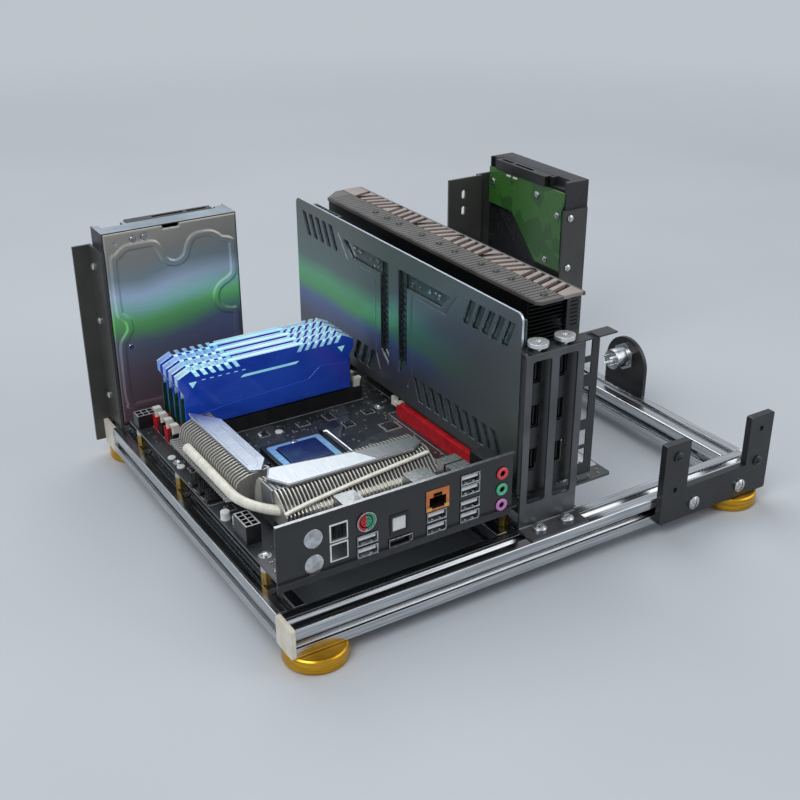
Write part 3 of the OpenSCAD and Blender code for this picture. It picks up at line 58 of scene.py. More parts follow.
# %% Shared sizes
board = np.array([-16.35, 7.8, 49.6])      # rear left corner of the mainboard's top
card_x, card_back = 155.6, 304.7           # middle plane and far end of the graphics card
card_h, card_high = 126.0, board[2] + 126.0             # height and upper edge of its backplate
fins_x, shroud_x, card_right = 172.9, 201.8, 212.8      # where its fins and shroud begin, and its fan side
fan_y, fan_z, fan_r, hub_r = [70.7, 163.7, 256.7], 125.6, 42.0, 17.0
fin_top = 172.5                            # the top of the fins carries the cover
bracket_y = 12.7                           # the card's near end
drive_w, drive_l = 101.6, 147.0            # width and length of a disk drive
left_drive = np.array([-12.9, 275.9, 34.3])             # lower left corner of each drive's cover
right_drive = np.array([362.85, 204.4, 34.3])
memory = board + [86.0, 188.0, 0.0]        # middle of the first memory socket
memory_pitch, memory_n, memory_h = 10.5, 4, 55.0
processor = board + [81.5, 124.0, 0.0]     # middle of the processor
crease = math.radians(34)                  # past this angle between two faces, their edge stays sharp
print("mainboard corner at", board, "mm")

# %% [markdown]
# ## Colour and nodes
#
# A colour seen on a screen is written in sRGB, but the renderer adds up light,
# so every hex code goes through one function that makes it linear. A material
# is a small network, and one function adds any node to it: its kind, its
# settings, and what feeds each input.

# %% Helpers for colour and for material nodes
def linear(code):
    """Each sRGB channel c, 0 to 1, becomes ((c + 0.055) / 1.055) to the power 2.4, or c / 12.92 near black."""
    c = np.array([int(code[i:i + 2], 16) for i in (1, 3, 5)]) / 255
    return (*np.where(c <= 0.04045, c / 12.92, ((c + 0.055) / 1.055) ** 2.4), 1.0)


def add(mat, kind, settings=(), inputs=()):
    """Adds one node with its settings, and gives each input a value, a hex colour or another output."""
    node = mat.node_tree.nodes.new("ShaderNode" + kind)
    for key, value in dict(settings).items():
        if key == "stops":
            while len(node.color_ramp.elements) < len(value):
                node.color_ramp.elements.new(0.5)
            for stop, (at, code) in zip(node.color_ramp.elements, value):
                stop.position, stop.color = at, linear(code)
        else:
            setattr(node, key, value)
    for key, value in dict(inputs).items():
        if isinstance(value, bpy.types.NodeSocket):
            mat.node_tree.links.new(value, node.inputs[key])
        else:
            node.inputs[key].default_value = linear(value) if isinstance(value, str) else value
    return node


print("black, mid grey and white are", [round(linear(c)[0], 3) for c in ("#000000", "#808080", "#ffffff")])

# %% [markdown]
# A finish starts as one Principled shader with constants on its own sockets.
# Nothing real has only one colour, though, so three helpers lay noise over
# it: clouds in the colour, wear in the roughness and relief in the surface.
# The noise is measured in millimetres on the object, and a stretch makes it
# run long in one direction, as brushing, rolling and extruding do.

# %% Helpers for a finish
def finish(name, colour, roughness, metallic=0.0, **sockets):
    """One Principled shader: its colour, how rough and how metallic it is, and more by socket name."""
    mat = bpy.data.materials.new(name)
    mat.use_nodes = True
    shader = mat.node_tree.nodes["Principled BSDF"]
    shader.inputs["Base Color"].default_value = linear(colour)
    shader.inputs["Roughness"].default_value = roughness
    shader.inputs["Metallic"].default_value = metallic
    for key, value in sockets.items():
        socket = shader.inputs[key.replace("_", " ")]
        socket.default_value = linear(value) if isinstance(value, str) else value
    return mat


def feed(mat, socket, output):
    """Joins an output to one socket of the finish's shader."""
    mat.node_tree.links.new(output, mat.node_tree.nodes["Principled BSDF"].inputs[socket])


def lumps(mat, size, stretch=(1, 1, 1), detail=3.0):
    """Noise whose lumps are size mm across, and longer along an axis whose stretch is under 1."""
    place = add(mat, "TexCoord").outputs["Object"]
    mm = add(mat, "Mapping", inputs={"Vector": place, "Scale": [1000 * s for s in stretch]})
    return add(mat, "TexNoise", inputs={"Vector": mm.outputs["Vector"], "Scale": 1 / size,
                                        "Detail": detail}).outputs["Fac"]


def clouds(mat, size, dark, pale, stretch=(1, 1, 1)):
    """The colour drifts between two hex codes over lumps of that size."""
    feed(mat, "Base Color", add(mat, "ValToRGB", {"stops": [(0.34, dark), (0.66, pale)]},
                                {"Fac": lumps(mat, size, stretch)}).outputs["Color"])


def wear(mat, size, low, high, stretch=(1, 1, 1)):
    """The roughness drifts from low to high over lumps of that size."""
    feed(mat, "Roughness", add(mat, "MapRange", inputs={
        "Value": lumps(mat, size, stretch), "From Min": 0.3, "From Max": 0.7, "To Min": low,
        "To Max": high}).outputs["Result"])


def relief(mat, size, depth, stretch=(1, 1, 1)):
    """The surface rises and falls by depth mm over lumps of that size."""
    feed(mat, "Normal", add(mat, "Bump", inputs={"Height": lumps(mat, size, stretch, 2.0),
                                                 "Distance": depth / 1000}).outputs["Normal"])


print("a finish has a colour, clouds, wear and relief")

# %% [markdown]
# ## Camera
#
# The photograph's camera was solved from sizes that the bench shows, such as
# the 244 mm mainboard. Its matrix is built from three directions: where it
# looks, its right, and its up. A lens in millimetres would need a guess, so
# the focal length is kept in pixels of the picture's 800.

# %% Camera
azimuth, elevation, roll = 0.555018, 0.456078, -0.003093
ahead = np.array([math.sin(azimuth) * math.cos(elevation), math.cos(azimuth) * math.cos(elevation),
                  -math.sin(elevation)])
level = np.array([math.cos(azimuth), -math.sin(azimuth), 0.0])
above = np.cross(level, ahead)
right_way = math.cos(roll) * level + math.sin(roll) * above
up_way = -math.sin(roll) * level + math.cos(roll) * above
turn = np.eye(4)
turn[:3, 0], turn[:3, 1], turn[:3, 2] = right_way, up_way, -ahead
turn[:3, 3] = np.array([-247.878, -494.069, 435.421]) / 1000           # where it stands, in metres
focal, picture, sensor = 1173.6, 800, 36.0                             # pixels, pixels and mm
camera = bpy.data.objects.new("camera", bpy.data.cameras.new("camera"))
bpy.context.scene.collection.objects.link(camera)
camera.matrix_world = Matrix(turn.tolist())
camera.data.sensor_width = sensor
camera.data.lens = focal / picture * sensor
camera.data.clip_start, camera.data.clip_end = 0.01, 50.0
bpy.context.scene.camera = camera
print("lens of", round(camera.data.lens, 1), "mm, looking down", round(math.degrees(elevation), 1), "degrees")

# %% [markdown]
# ## Floor
#
# A studio table is a pale paper sweep that runs on past the edges of the
# picture. Here it is a wide disc of matt paper. Near the object it is lit
# like everything else, so it keeps the soft shadow. Far away the lamps no
# longer reach it, so it turns into a surface that shows its own pale colour,
# but only to camera, mirror and glass rays: it must not light the object.

# %% Floor
pale = "#C3C9D0"


def seen_rays(mat):
    """1 for a ray that comes from the camera, a mirror or glass, and 0 for one that only carries light."""
    ray = add(mat, "LightPath")
    two = add(mat, "Math", {"operation": "ADD"},
              {0: ray.outputs["Is Camera Ray"], 1: ray.outputs["Is Glossy Ray"]})
    return add(mat, "Math", {"operation": "ADD", "use_clamp": True},
               {0: two.outputs["Value"], 1: ray.outputs["Is Transmission Ray"]}).outputs["Value"]


floor_r, corners = 6.0, 96
ring = np.linspace(0, 2 * np.pi, corners, endpoint=False)
floor_mesh = bpy.data.meshes.new("floor")
floor_mesh.from_pydata(np.stack([floor_r * np.cos(ring), floor_r * np.sin(ring), 0 * ring], 1).tolist(), [],
                       [list(range(corners))])
floor = bpy.data.objects.new("floor", floor_mesh)
bpy.context.scene.collection.objects.link(floor)
sweep = finish("matt_paper_sweep", pale, 0.9)
clouds(sweep, 400.0, "#C0C6CD", "#C6CCD3")
spot = add(sweep, "TexCoord").outputs["Object"]
far = add(sweep, "VectorMath", {"operation": "LENGTH"}, {0: spot})
edge = add(sweep, "MapRange", {"interpolation_type": "SMOOTHSTEP"},
           {"Value": far.outputs["Value"], "From Min": 0.6, "From Max": 2.2, "To Max": 0.9})
how_much = add(sweep, "Math", {"operation": "MULTIPLY"}, {0: seen_rays(sweep), 1: edge.outputs["Result"]})
glow = add(sweep, "Emission", inputs={"Color": pale, "Strength": 1.0})
fade = add(sweep, "MixShader", inputs={
    "Fac": how_much.outputs["Value"], 1: sweep.node_tree.nodes["Principled BSDF"].outputs["BSDF"],
    2: glow.outputs["Emission"]})
sweep.node_tree.links.new(fade.outputs["Shader"], sweep.node_tree.nodes["Material Output"].inputs["Surface"])
floor_mesh.materials.append(sweep)
print("floor of", floor.dimensions[0], "m")

# %% [markdown]
# ## World
#
# The world does two things at once. To the rays that only carry light it is
# a weak grey dome, so a colour renders about as it is written. To the rays
# that are seen it is the same pale colour as the floor, so polished metal
# reflects a bright studio and not a grey night.

# %% World
world = bpy.data.worlds.new("studio")
world.use_nodes = True
bpy.context.scene.world = world
for node in list(world.node_tree.nodes):
    world.node_tree.nodes.remove(node)
lit = add(world, "Background", inputs={"Color": "#B9BEC4", "Strength": 0.5})
shown = add(world, "Background", inputs={"Color": pale, "Strength": 1.0})
both = add(world, "MixShader", inputs={"Fac": seen_rays(world), 1: lit.outputs["Background"],
                                       2: shown.outputs["Background"]})
add(world, "OutputWorld", inputs={"Surface": both.outputs["Shader"]})
print("the world lights softly and shows", pale)

# %% [markdown]
# ## Lamps
#
# Soft light comes from large lamps, because the softness of a shadow grows
# with the lamp's size. One hangs high at the left, one overhead and behind
# brightens everything that faces up, and a weak one at the right opens the
# shadows.

# %% Lamps
def lamp(name, at, towards, size, watts):
    """A square area lamp of that side in metres, turned so that it shines from one point to another."""
    light = bpy.data.lights.new(name, "AREA")
    light.shape, light.size, light.energy = "SQUARE", size, watts
    obj = bpy.data.objects.new(name, light)
    bpy.context.scene.collection.objects.link(obj)
    way = np.array(towards, float) - np.array(at, float)
    side = np.cross([0.0, 0.0, 1.0], way)
    axes = np.stack([side, -np.cross(way, side), -way], 1)
    matrix = np.eye(4)
    matrix[:3, :3] = axes / np.linalg.norm(axes, axis=0)
    matrix[:3, 3] = at
    obj.matrix_world = Matrix(matrix.tolist())
    return obj


lamps = [lamp("key", (-1.0, -0.5, 1.5), (0.15, 0.12, 0.05), 1.0, 15),
         lamp("top", (0.25, 0.9, 1.5), (0.15, 0.15, 0.05), 1.4, 13),
         lamp("fill", (1.3, -0.7, 0.9), (0.15, 0.12, 0.05), 1.2, 6)]
bpy.context.scene.view_settings.view_transform = "Standard"
print("lamps:", [(o.name, o.data.energy) for o in lamps])

# %% [markdown]
# ## Meshes from arrays
#
# Every new piece is a set of points worked out at once as an array, and a set
# of faces that says which points belong together. One function turns them
# into an object. It merges points that fall together, which closes the poles
# and seams of round pieces, and then turns all faces outwards.

# %% From arrays to an object
def piece(name, shape, mat, body="bench", smooth=True, closed=True):
    """One object at the origin, from points in mm and faces; a closed one gets its faces turned outwards."""
    points, faces = shape
    mesh = bpy.data.meshes.new(name)
    metres = np.asarray(points, float) / 1000
    mesh.from_pydata(metres.tolist(), [], [list(map(int, face)) for face in faces])
    bm = bmesh.new()
    bm.from_mesh(mesh)
    bmesh.ops.remove_doubles(bm, verts=bm.verts, dist=1e-7)
    if closed:
        bmesh.ops.recalc_face_normals(bm, faces=bm.faces)
    bm.to_mesh(mesh)
    bm.free()
    if smooth:
        mesh.shade_smooth()
        mesh.set_sharp_from_angle(angle=crease)
    mesh.materials.append(mat)
    obj = bpy.data.objects.new(name, mesh)
    bpy.context.scene.collection.objects.link(obj)
    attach(obj, body)
    return obj


def grid(nu, nv, wrap_u=False, wrap_v=False):
    """Faces of nu by nv points: each joins a point, the next along v, and their neighbours along u."""
    i = np.arange(nu if wrap_u else nu - 1)[:, None]
    j = np.arange(nv if wrap_v else nv - 1)[None, :]
    i2, j2 = (i + 1) % nu, (j + 1) % nv
    corners = np.broadcast_arrays(i * nv + j, i * nv + j2, i2 * nv + j2, i2 * nv + j)
    return np.stack(corners, -1).reshape(-1, 4)


def join(*shapes):
    """Several shapes as one: the faces of each count on from the points before it."""
    points, faces, start = [], [], 0
    for p, f in shapes:
        points.append(np.asarray(p, float))
        faces += [[int(k) + start for k in face] for face in f]
        start += len(p)
    return np.concatenate(points), faces


print("a grid of 3 by 4 points has", len(grid(3, 4)), "faces")

# %% [markdown]
# Most pieces of a machine are one of three surfaces. A profile turned round
# an axis gives a screw, a can or a hub. An outline with a thickness gives a
# plate or a rib. A section carried along a path gives a pipe, a rim or a
# lip. A smooth line through a few chosen points gives such a path, and it
# also draws the bead of the drive covers.

# %% Turned, plate, along a path
def turned(profile, n=32, axis=2, centre=(0, 0, 0)):
    """Each (radius, height) of a profile goes round the axis: radius times cos and sin, and the height."""
    profile = np.asarray(profile, float)
    a = np.linspace(0, 2 * np.pi, n, endpoint=False)
    ring = np.stack([np.outer(profile[:, 0], np.cos(a)), np.outer(profile[:, 0], np.sin(a)),
                     np.repeat(profile[:, 1:2], n, 1)], -1).reshape(-1, 3)
    ring = np.roll(ring, axis - 2, axis=1)
    return ring + centre, grid(len(profile), n, wrap_v=True)


def plate(outline, low, high, axis=1):
    """An outline in the two other axes, at low and at high along the axis, joined by a ring of faces."""
    outline = np.asarray(outline, float)
    n = len(outline)
    points = np.insert(np.tile(outline, (2, 1)), axis, np.repeat([low, high], n), axis=1)
    ring = [[k, (k + 1) % n, n + (k + 1) % n, n + k] for k in range(n)]
    return points, ring + [list(range(n))[::-1], list(range(n, 2 * n))]


def along(path, section, up=(0, 0, 1), closed=False):
    """A section of (side, up) offsets carried along a path: side is the path's direction crossed with up."""
    path, section = np.asarray(path, float), np.asarray(section, float)
    way = np.roll(path, -1, 0) - np.roll(path, 1, 0)
    if not closed:
        way[0], way[-1] = path[1] - path[0], path[-1] - path[-2]
    way /= np.linalg.norm(way, axis=1)[:, None]
    side = np.cross(way, np.asarray(up, float))
    side /= np.linalg.norm(side, axis=1)[:, None]
    rise = np.cross(side, way)
    points = (path[:, None] + section[None, :, :1] * side[:, None] + section[None, :, 1:] * rise[:, None])
    n, k = len(path), len(section)
    faces = grid(n, k, wrap_u=closed, wrap_v=True).tolist()
    if not closed:
        faces += [list(range(k)), list(range((n - 1) * k, n * k))[::-1]]
    return points.reshape(-1, 3), faces


def rounded(points, n=8, closed=True):
    """A smooth line through points: a cubic between each two, whose slope at a point joins its neighbours."""
    p = np.asarray(points, float)
    if closed:
        a, b, c, d = np.roll(p, 1, 0), p, np.roll(p, -1, 0), np.roll(p, -2, 0)
    else:
        q = np.concatenate([2 * p[:1] - p[1:2], p, 2 * p[-1:] - p[-2:-1]])
        a, b, c, d = q[:-3], q[1:-2], q[2:-1], q[3:]
    t = (np.arange(n) / n)[None, :, None]
    a, b, c, d = (v[:, None] for v in (a, b, c, d))
    line = 0.5 * (2 * b + (c - a) * t + (2 * a - 5 * b + 4 * c - d) * t ** 2
                  + (3 * b - a - 3 * c + d) * t ** 3).reshape(-1, p.shape[1])
    return line if closed else np.concatenate([line, p[-1:]])


print("a can has", len(turned([[0, 1], [1, 1], [1, 0], [0, 0]])[1]), "faces")

# %% [markdown]
# A board carries the same small part hundreds of times. One shape is copied
# to all its places in one array step, and the copies stay one object, which
# keeps the scene light. The last helper is Blender's Bevel, set in
# millimetres: a real edge is never without a radius.

# %% Copies, and edges with a radius
def repeat(shape, places, sizes=1.0, turns=None):
    """Copies of a shape: its points times each size, turned about Z by each angle, plus each place."""
    points, faces = shape
    places = np.asarray(places, float)
    n = len(places)
    sizes = np.broadcast_to(np.asarray(sizes, float), (n, 3)) if np.ndim(sizes) else np.full((n, 3), sizes)
    p = np.asarray(points, float)[None] * sizes[:, None]
    if turns is not None:
        c, s = np.cos(turns)[:, None], np.sin(turns)[:, None]
        p = np.stack([c * p[..., 0] - s * p[..., 1], s * p[..., 0] + c * p[..., 1], p[..., 2]], -1)
    p = p + places[:, None]
    k = p.shape[1]
    if len({len(f) for f in faces}) == 1:
        all_faces = (np.asarray(faces)[None] + k * np.arange(n)[:, None, None]).reshape(-1, len(faces[0]))
    else:
        all_faces = [[int(q) + k * i for q in f] for i in range(n) for f in faces]
    return p.reshape(-1, 3), all_faces


def bevel(obj, width, segments=2, angle=30):
    """Rounds the edges that are sharper than the angle, by a width in mm."""
    mod = obj.modifiers.new("edges", "BEVEL")
    mod.width, mod.segments, mod.limit_method = width / 1000, segments, "ANGLE"
    mod.angle_limit, mod.harden_normals = math.radians(angle), True
    return obj


print("two copies of a plate have", len(repeat(plate([[0, 0], [1, 0], [0, 1]], 0, 1), [[0, 0, 0], [2, 0, 0]])[1]),
      "faces")


# %% [markdown]
# ## Finishes of the frame
#
# The rails are extruded aluminium, polished afterwards: extruding leaves fine
# lines along the rail, and polishing leaves a mirror between them. The noise
# is therefore forty times longer along a rail than across it, so each
# direction of rail needs a finish of its own.

# %% Polished extruded aluminium
def polished_extrusion(name, stretch):
    """Aluminium whose lines, 0.8 mm wide, run along the axis that is stretched."""
    mat = finish(name, "#C9CBCD", 0.2, metallic=1.0)
    clouds(mat, 0.8, "#A9ABAE", "#DADCDE", stretch)
    wear(mat, 1.6, 0.12, 0.3, stretch)
    relief(mat, 0.8, 0.01, stretch)
    return mat


rail_x = polished_extrusion("polished_extruded_aluminium_x", (0.02, 1, 1))
rail_y = polished_extrusion("polished_extruded_aluminium_y", (1, 0.02, 1))
print(rail_x.name, rail_y.name)

# %% [markdown]
# The end caps are moulded ABS that has yellowed to cream. The feet are turned
# aluminium with a gold anodised skin, so their tool marks are thin level
# rings. The standoffs are brass, and a ramp along Z paints their upper half
# pale silver: a painted glint.

# %% Caps, feet, standoffs and screws
cap_abs = finish("moulded_cream_abs", "#E6E0CF", 0.45, Coat_Weight=0.15)
clouds(cap_abs, 9.0, "#DDD6C3", "#ECE7D8")
relief(cap_abs, 0.5, 0.02)

gold = finish("gold_anodised_aluminium", "#D8A02C", 0.32, metallic=1.0)
clouds(gold, 1.2, "#B9841C", "#E8B640", (0.05, 0.05, 1))
wear(gold, 0.8, 0.24, 0.42, (0.05, 0.05, 1))

plated = finish("nickel_plated_steel", "#C6C8CA", 0.22, metallic=1.0)
clouds(plated, 2.0, "#A4A6A8", "#DDDFE0")
wear(plated, 1.5, 0.14, 0.34)

brass = finish("turned_brass_with_painted_glint", "#B9985A", 0.28, metallic=1.0)
height = add(brass, "SeparateXYZ", inputs={"Vector": add(brass, "TexCoord").outputs["Object"]})
# Above 39.5 mm the ramp paints the standoffs pale silver, a painted glint.
glint_zone = add(brass, "MapRange", inputs={"Value": height.outputs["Z"], "From Min": 0.0385, "From Max": 0.0395})
feed(brass, "Base Color", add(brass, "ValToRGB", {"stops": [(0.0, "#A98B4C"), (1.0, "#CBC9C2")]},
                              {"Fac": glint_zone.outputs["Result"]}).outputs["Color"])
wear(brass, 1.0, 0.2, 0.4)

zinc = finish("zinc_plated_steel", "#8E9092", 0.4, metallic=1.0)
clouds(zinc, 3.0, "#77797B", "#A2A4A6")
print("gold feet, cream caps, brass standoffs")

# %% [markdown]
# ## Painted and coated sheet
#
# Black paint on sheet steel is satin: it keeps a soft reflection, and its
# sprayed skin is a fine orange peel of about a millimetre. The same recipe
# with other colours gives the drive brackets and the castings.

# %% Sprayed paint
def sprayed(name, dark, pale, rough, grit=0.9, depth=0.012, coat=0.1, metallic=0.0):
    """Satin paint whose orange peel is grit mm across; metal flakes make it metallic."""
    mat = finish(name, pale, rough, metallic, Coat_Weight=coat, Coat_Roughness=0.25)
    clouds(mat, 24.0, dark, pale)
    wear(mat, 5.0, rough - 0.06, rough + 0.08)
    relief(mat, grit, depth)
    return mat


shield_black = sprayed("black_sprayed_steel", "#222324", "#2B2C2E", 0.34)
plate_black = sprayed("black_powder_coated_plate", "#1B1C1E", "#242528", 0.38)
angle_grey = sprayed("dark_olive_grey_paint", "#3A3A37", "#464643", 0.42)
holder_grey = sprayed("satin_grey_paint", "#58595B", "#6A6B6E", 0.34, metallic=0.75)
cast_black = sprayed("black_painted_casting", "#1C1D20", "#26272A", 0.46, 1.4, 0.04)
# A pale silver for the left drive's top edge: a painted reflection.
casting_painted_reflection = sprayed("casting_top_painted_reflection", "#8A97A2", "#A4B0BA", 0.36, 1.4, 0.02, metallic=0.6)
screw_black = sprayed("black_oxide_steel", "#151516", "#1F1F21", 0.3)
card_black = sprayed("black_steel_bracket", "#1E1F21", "#2A2B2D", 0.32)
print("five paints from one recipe")

# %% [markdown]
# ## Boards
#
# A circuit board is glass fibre under solder mask. What gives it away is the
# copper under the mask: bundles of straight tracks that all run one way in
# one patch and the other way in the next. Patches 17 mm across choose a
# direction, and a repeating ramp along it draws a track every 1.3 mm. Real
# tracks are finer, but they would not show in the picture.

# %% Solder mask over copper tracks
def solder_mask(name, mask, track, rough, across=("X", "Y"), cell=17.0, pitch=1.3):
    """A track is where a coordinate over the pitch has a remainder under 0.42; each patch picks the axis."""
    mat = finish(name, mask, rough, Coat_Weight=0.35, Coat_Roughness=0.2)
    place = add(mat, "TexCoord").outputs["Object"]
    axis = add(mat, "SeparateXYZ", inputs={"Vector": place})
    patch = add(mat, "TexVoronoi", {"feature": "F1"}, {"Vector": place, "Scale": 1000 / cell})
    pick = add(mat, "SeparateColor", inputs={"Color": patch.outputs["Color"]})
    lines = []
    for letter in across:
        step = add(mat, "Math", {"operation": "MULTIPLY"}, {0: axis.outputs[letter], 1: 1000 / pitch})
        part = add(mat, "Math", {"operation": "FRACT"}, {0: step.outputs["Value"]})
        lines.append(add(mat, "Math", {"operation": "LESS_THAN"}, {0: part.outputs["Value"], 1: 0.42}))
    way = add(mat, "Math", {"operation": "GREATER_THAN"}, {0: pick.outputs["Red"], 1: 0.5})
    line = add(mat, "Mix", {"data_type": "FLOAT"}, {
        "Factor": way.outputs["Value"], "A": lines[0].outputs["Value"], "B": lines[1].outputs["Value"]})
    here = add(mat, "Math", {"operation": "GREATER_THAN"}, {0: pick.outputs["Green"], 1: 0.35})
    tracks = add(mat, "Math", {"operation": "MULTIPLY"},
                 {0: line.outputs["Result"], 1: here.outputs["Value"]}).outputs["Value"]
    feed(mat, "Base Color", add(mat, "ValToRGB", {"stops": [(0.0, mask), (1.0, track)]},
                                {"Fac": tracks}).outputs["Color"])
    copper = 0.04                          # mm that a track stands up
    feed(mat, "Normal", add(mat, "Bump", inputs={"Height": tracks, "Distance": copper / 1000}).outputs["Normal"])
    return mat


board_mask = solder_mask("black_solder_mask", "#24272A", "#3A3F43", 0.34)
memory_mask = solder_mask("green_solder_mask", "#0E3A1E", "#185A2D", 0.35, ("X", "Z"), 9.0, 1.0)
drive_mask = solder_mask("drive_green_solder_mask", "#2A5A22", "#4A8436", 0.4, ("Y", "Z"), 13.0, 1.5)
card_mask = solder_mask("dark_card_solder_mask", "#22302D", "#37524A", 0.35, ("Y", "Z"), 11.0, 1.2)
print("four boards from one recipe")

# %% [markdown]
# ## Plastics of the sockets
#
# Sockets and connectors are glass-filled nylon, moulded in black, red or
# cream. The mould leaves a very fine grain, and handling leaves patches that
# shine a little more.

# %% Moulded nylon
def moulded(name, dark, pale, rough=0.42, grit=0.4, depth=0.01):
    """Nylon or ABS with a mould grain of grit mm."""
    mat = finish(name, pale, rough, Coat_Weight=0.1, Coat_Roughness=0.3)
    clouds(mat, 6.0, dark, pale)
    wear(mat, 3.0, rough - 0.08, rough + 0.08)
    relief(mat, grit, depth)
    return mat


black_nylon = moulded("black_nylon", "#141415", "#1F1F21")
red_nylon = moulded("red_nylon", "#B5101A", "#D2202A", 0.36)
cream_nylon = moulded("cream_nylon", "#DCD9CB", "#EDEBE0", 0.4)
white_nylon = moulded("white_nylon", "#E4E5E4", "#F2F3F2", 0.35)
orange_nylon = moulded("orange_nylon", "#C4652A", "#DF8442", 0.4)
green_nylon = moulded("green_nylon", "#2F8F66", "#45A67C", 0.4)
mint_nylon = moulded("green_jack_nylon", "#4FB58A", "#63C79C", 0.38)
rose_nylon = moulded("red_jack_nylon", "#D83A40", "#E8555A", 0.38)
pink_nylon = moulded("pink_jack_nylon", "#C97BBE", "#DB97D2", 0.38)
shroud_abs = moulded("black_abs_shroud", "#18191B", "#222326", 0.4, 0.7, 0.02)
blade_abs = moulded("black_pbt_fan", "#161719", "#202225", 0.34, 0.7, 0.012)
pipe_paint = moulded("cream_painted_copper", "#DDDACB", "#EFEDE2", 0.3, 1.2, 0.015)
print("plastics made")

# %% [markdown]
# ## Brushed and anodised metal
#
# Brushing scratches a sheet in one direction, so a lamp spreads into a band
# across the scratches. The drive covers and the card's backplate also get a
# painted reflection of coloured surroundings: blue, green and violet one above
# the other, painted into the colour. The painted reflection follows the height
# on the object, with its border wandering a few millimetres. On the backplate
# it fades towards the near end.

# %% Brushed sheet with a tinted band
def brushed(name, dark, pale, stretch, rough=0.3, bands=None, low=0.0, high=0.2, metallic=1.0, fade=None):
    """Scratches over a colour, or over a painted reflection in colours from z low to high that appears as y passes
    fade.
    """
    mat = finish(name, pale, rough, metallic=metallic)
    if bands:
        place = add(mat, "TexCoord").outputs["Object"]
        drift = add(mat, "TexNoise", inputs={"Vector": place, "Scale": 1000 / 90, "Detail": 1.0})
        z = add(mat, "SeparateXYZ", inputs={"Vector": place}).outputs["Z"]
        shift = add(mat, "Math", {"operation": "MULTIPLY_ADD"}, {0: drift.outputs["Fac"], 1: 0.03, 2: z})
        at = add(mat, "MapRange", inputs={"Value": shift.outputs["Value"], "From Min": low + 0.015,
                                          "From Max": high + 0.015})
        painted_reflection = add(mat, "ValToRGB", {"stops": bands}, {"Fac": at.outputs["Result"]})
        if fade:
            y = add(mat, "SeparateXYZ", inputs={"Vector": place}).outputs["Y"]
            away = add(mat, "MapRange", {"interpolation_type": "SMOOTHSTEP"},
                       {"Value": y, "From Min": fade[0], "From Max": fade[1]})
            painted_reflection = add(mat, "Mix", {"data_type": "RGBA"},
                       {"Factor": away.outputs["Result"], 6: linear(pale), 7: painted_reflection.outputs["Color"]})
        streak = add(mat, "ValToRGB", {"stops": [(0.3, "#F4F4F4"), (0.7, "#FFFFFF")]},
                     {"Fac": lumps(mat, 0.3, stretch)})
        both = add(mat, "Mix", {"data_type": "RGBA", "blend_type": "MULTIPLY"},
                   {"Factor": 1.0, 6: painted_reflection.outputs[2 if fade else "Color"], 7: streak.outputs["Color"]})
        feed(mat, "Base Color", both.outputs[2])       # sockets 6, 7 and 2 are A, B and Result for colours
    else:
        clouds(mat, 0.4, dark, pale, stretch)
    spread = 0.02 if bands else 0.05
    wear(mat, 0.5, rough - spread, rough + spread, stretch)
    return mat


# The colour bands of these two finishes are a painted reflection of coloured surroundings.
plate_painted_reflection = brushed("brushed_anodised_backplate_painted_reflection", "#5E6B6B", "#6E7572", (1, 0.03, 1), 0.34, [
    (0.0, "#5C5F60"), (0.2, "#5F6070"), (0.34, "#6478A8"), (0.44, "#62B474"), (0.53, "#6CB88C"),
    (0.66, "#6C8080"), (1.0, "#6C7370")], 0.06, 0.176, 0.6, fade=(0.04, 0.2))
cover_painted_reflection = brushed("brushed_steel_drive_cover_painted_reflection", "#8A8C8C", "#9FA1A0", (0.03, 0.03, 1), 0.3, [
    (0.0, "#8A6A70"), (0.25, "#827C8A"), (0.44, "#86929C"), (0.52, "#86D884"), (0.57, "#90E888"),
    (0.63, "#ACE4CC"), (0.71, "#CCDAEC"), (0.79, "#98A8B0"), (0.88, "#A6A49E"), (1.0, "#B4AFA7")],
    0.034, 0.182, 0.5)
steel_can = brushed("stamped_tin_plate", "#A9ABAD", "#D4D6D8", (0.1, 1, 0.1), 0.26)
button_steel = brushed("turned_stainless_steel", "#9DA0A2", "#D2D4D6", (1, 0.08, 0.08), 0.24)
sink_silver = brushed("satin_silver_blue_aluminium", "#BFC8D6", "#D9E0EA", (0.05, 1, 1), 0.34)
sink_bright = brushed("bright_anodised_aluminium", "#D3DAE1", "#E6EBF0", (1, 0.05, 1), 0.4, metallic=0.7)
sink_grey = brushed("grey_brushed_aluminium", "#8D9093", "#A2A5A8", (1, 0.05, 1), 0.36)
sink_fin = brushed("stamped_aluminium_fin", "#B4B2AC", "#CFCDC7", (1, 1, 0.05), 0.34, metallic=0.65)
sink_dark = brushed("anodised_dark_aluminium", "#2C2E31", "#3B3D41", (0.05, 1, 1), 0.36)
load_blue = brushed("blue_steel_load_plate", "#8CC4F0", "#A8D8F8", (0.06, 1, 1), 0.3, metallic=0.6)
lid_nickel = brushed("nickel_plated_copper_lid", "#6E7B93", "#8391AC", (0.06, 1, 1), 0.16)
wire_steel = brushed("bent_spring_wire", "#A6A9AC", "#D0D3D5", (1, 0.05, 1), 0.25)
can_metal = brushed("drawn_aluminium_can", "#BFC1C3", "#E8E9EA", (1, 1, 0.1), 0.3)
fin_black = brushed("black_coated_fins", "#141516", "#202123", (1, 0.04, 1), 0.4, metallic=0.7)
thumb_steel = brushed("turned_nickel_thumbscrew", "#C9CCCE", "#E6E8E9", (0.3, 0.3, 1), 0.3, metallic=0.8)
label_foil = brushed("satin_metal_label_foil", "#8F9296", "#ABAEB2", (0.2, 1, 1), 0.34)
print("brushed metals made")

# %% [markdown]
# Small parts have plain finishes, but never one flat colour: ceramic
# capacitors are tan, chips are black epoxy with a faint bloom, printing is a
# matt white ink, and solder is bright where it wetted and dull where it
# cooled.

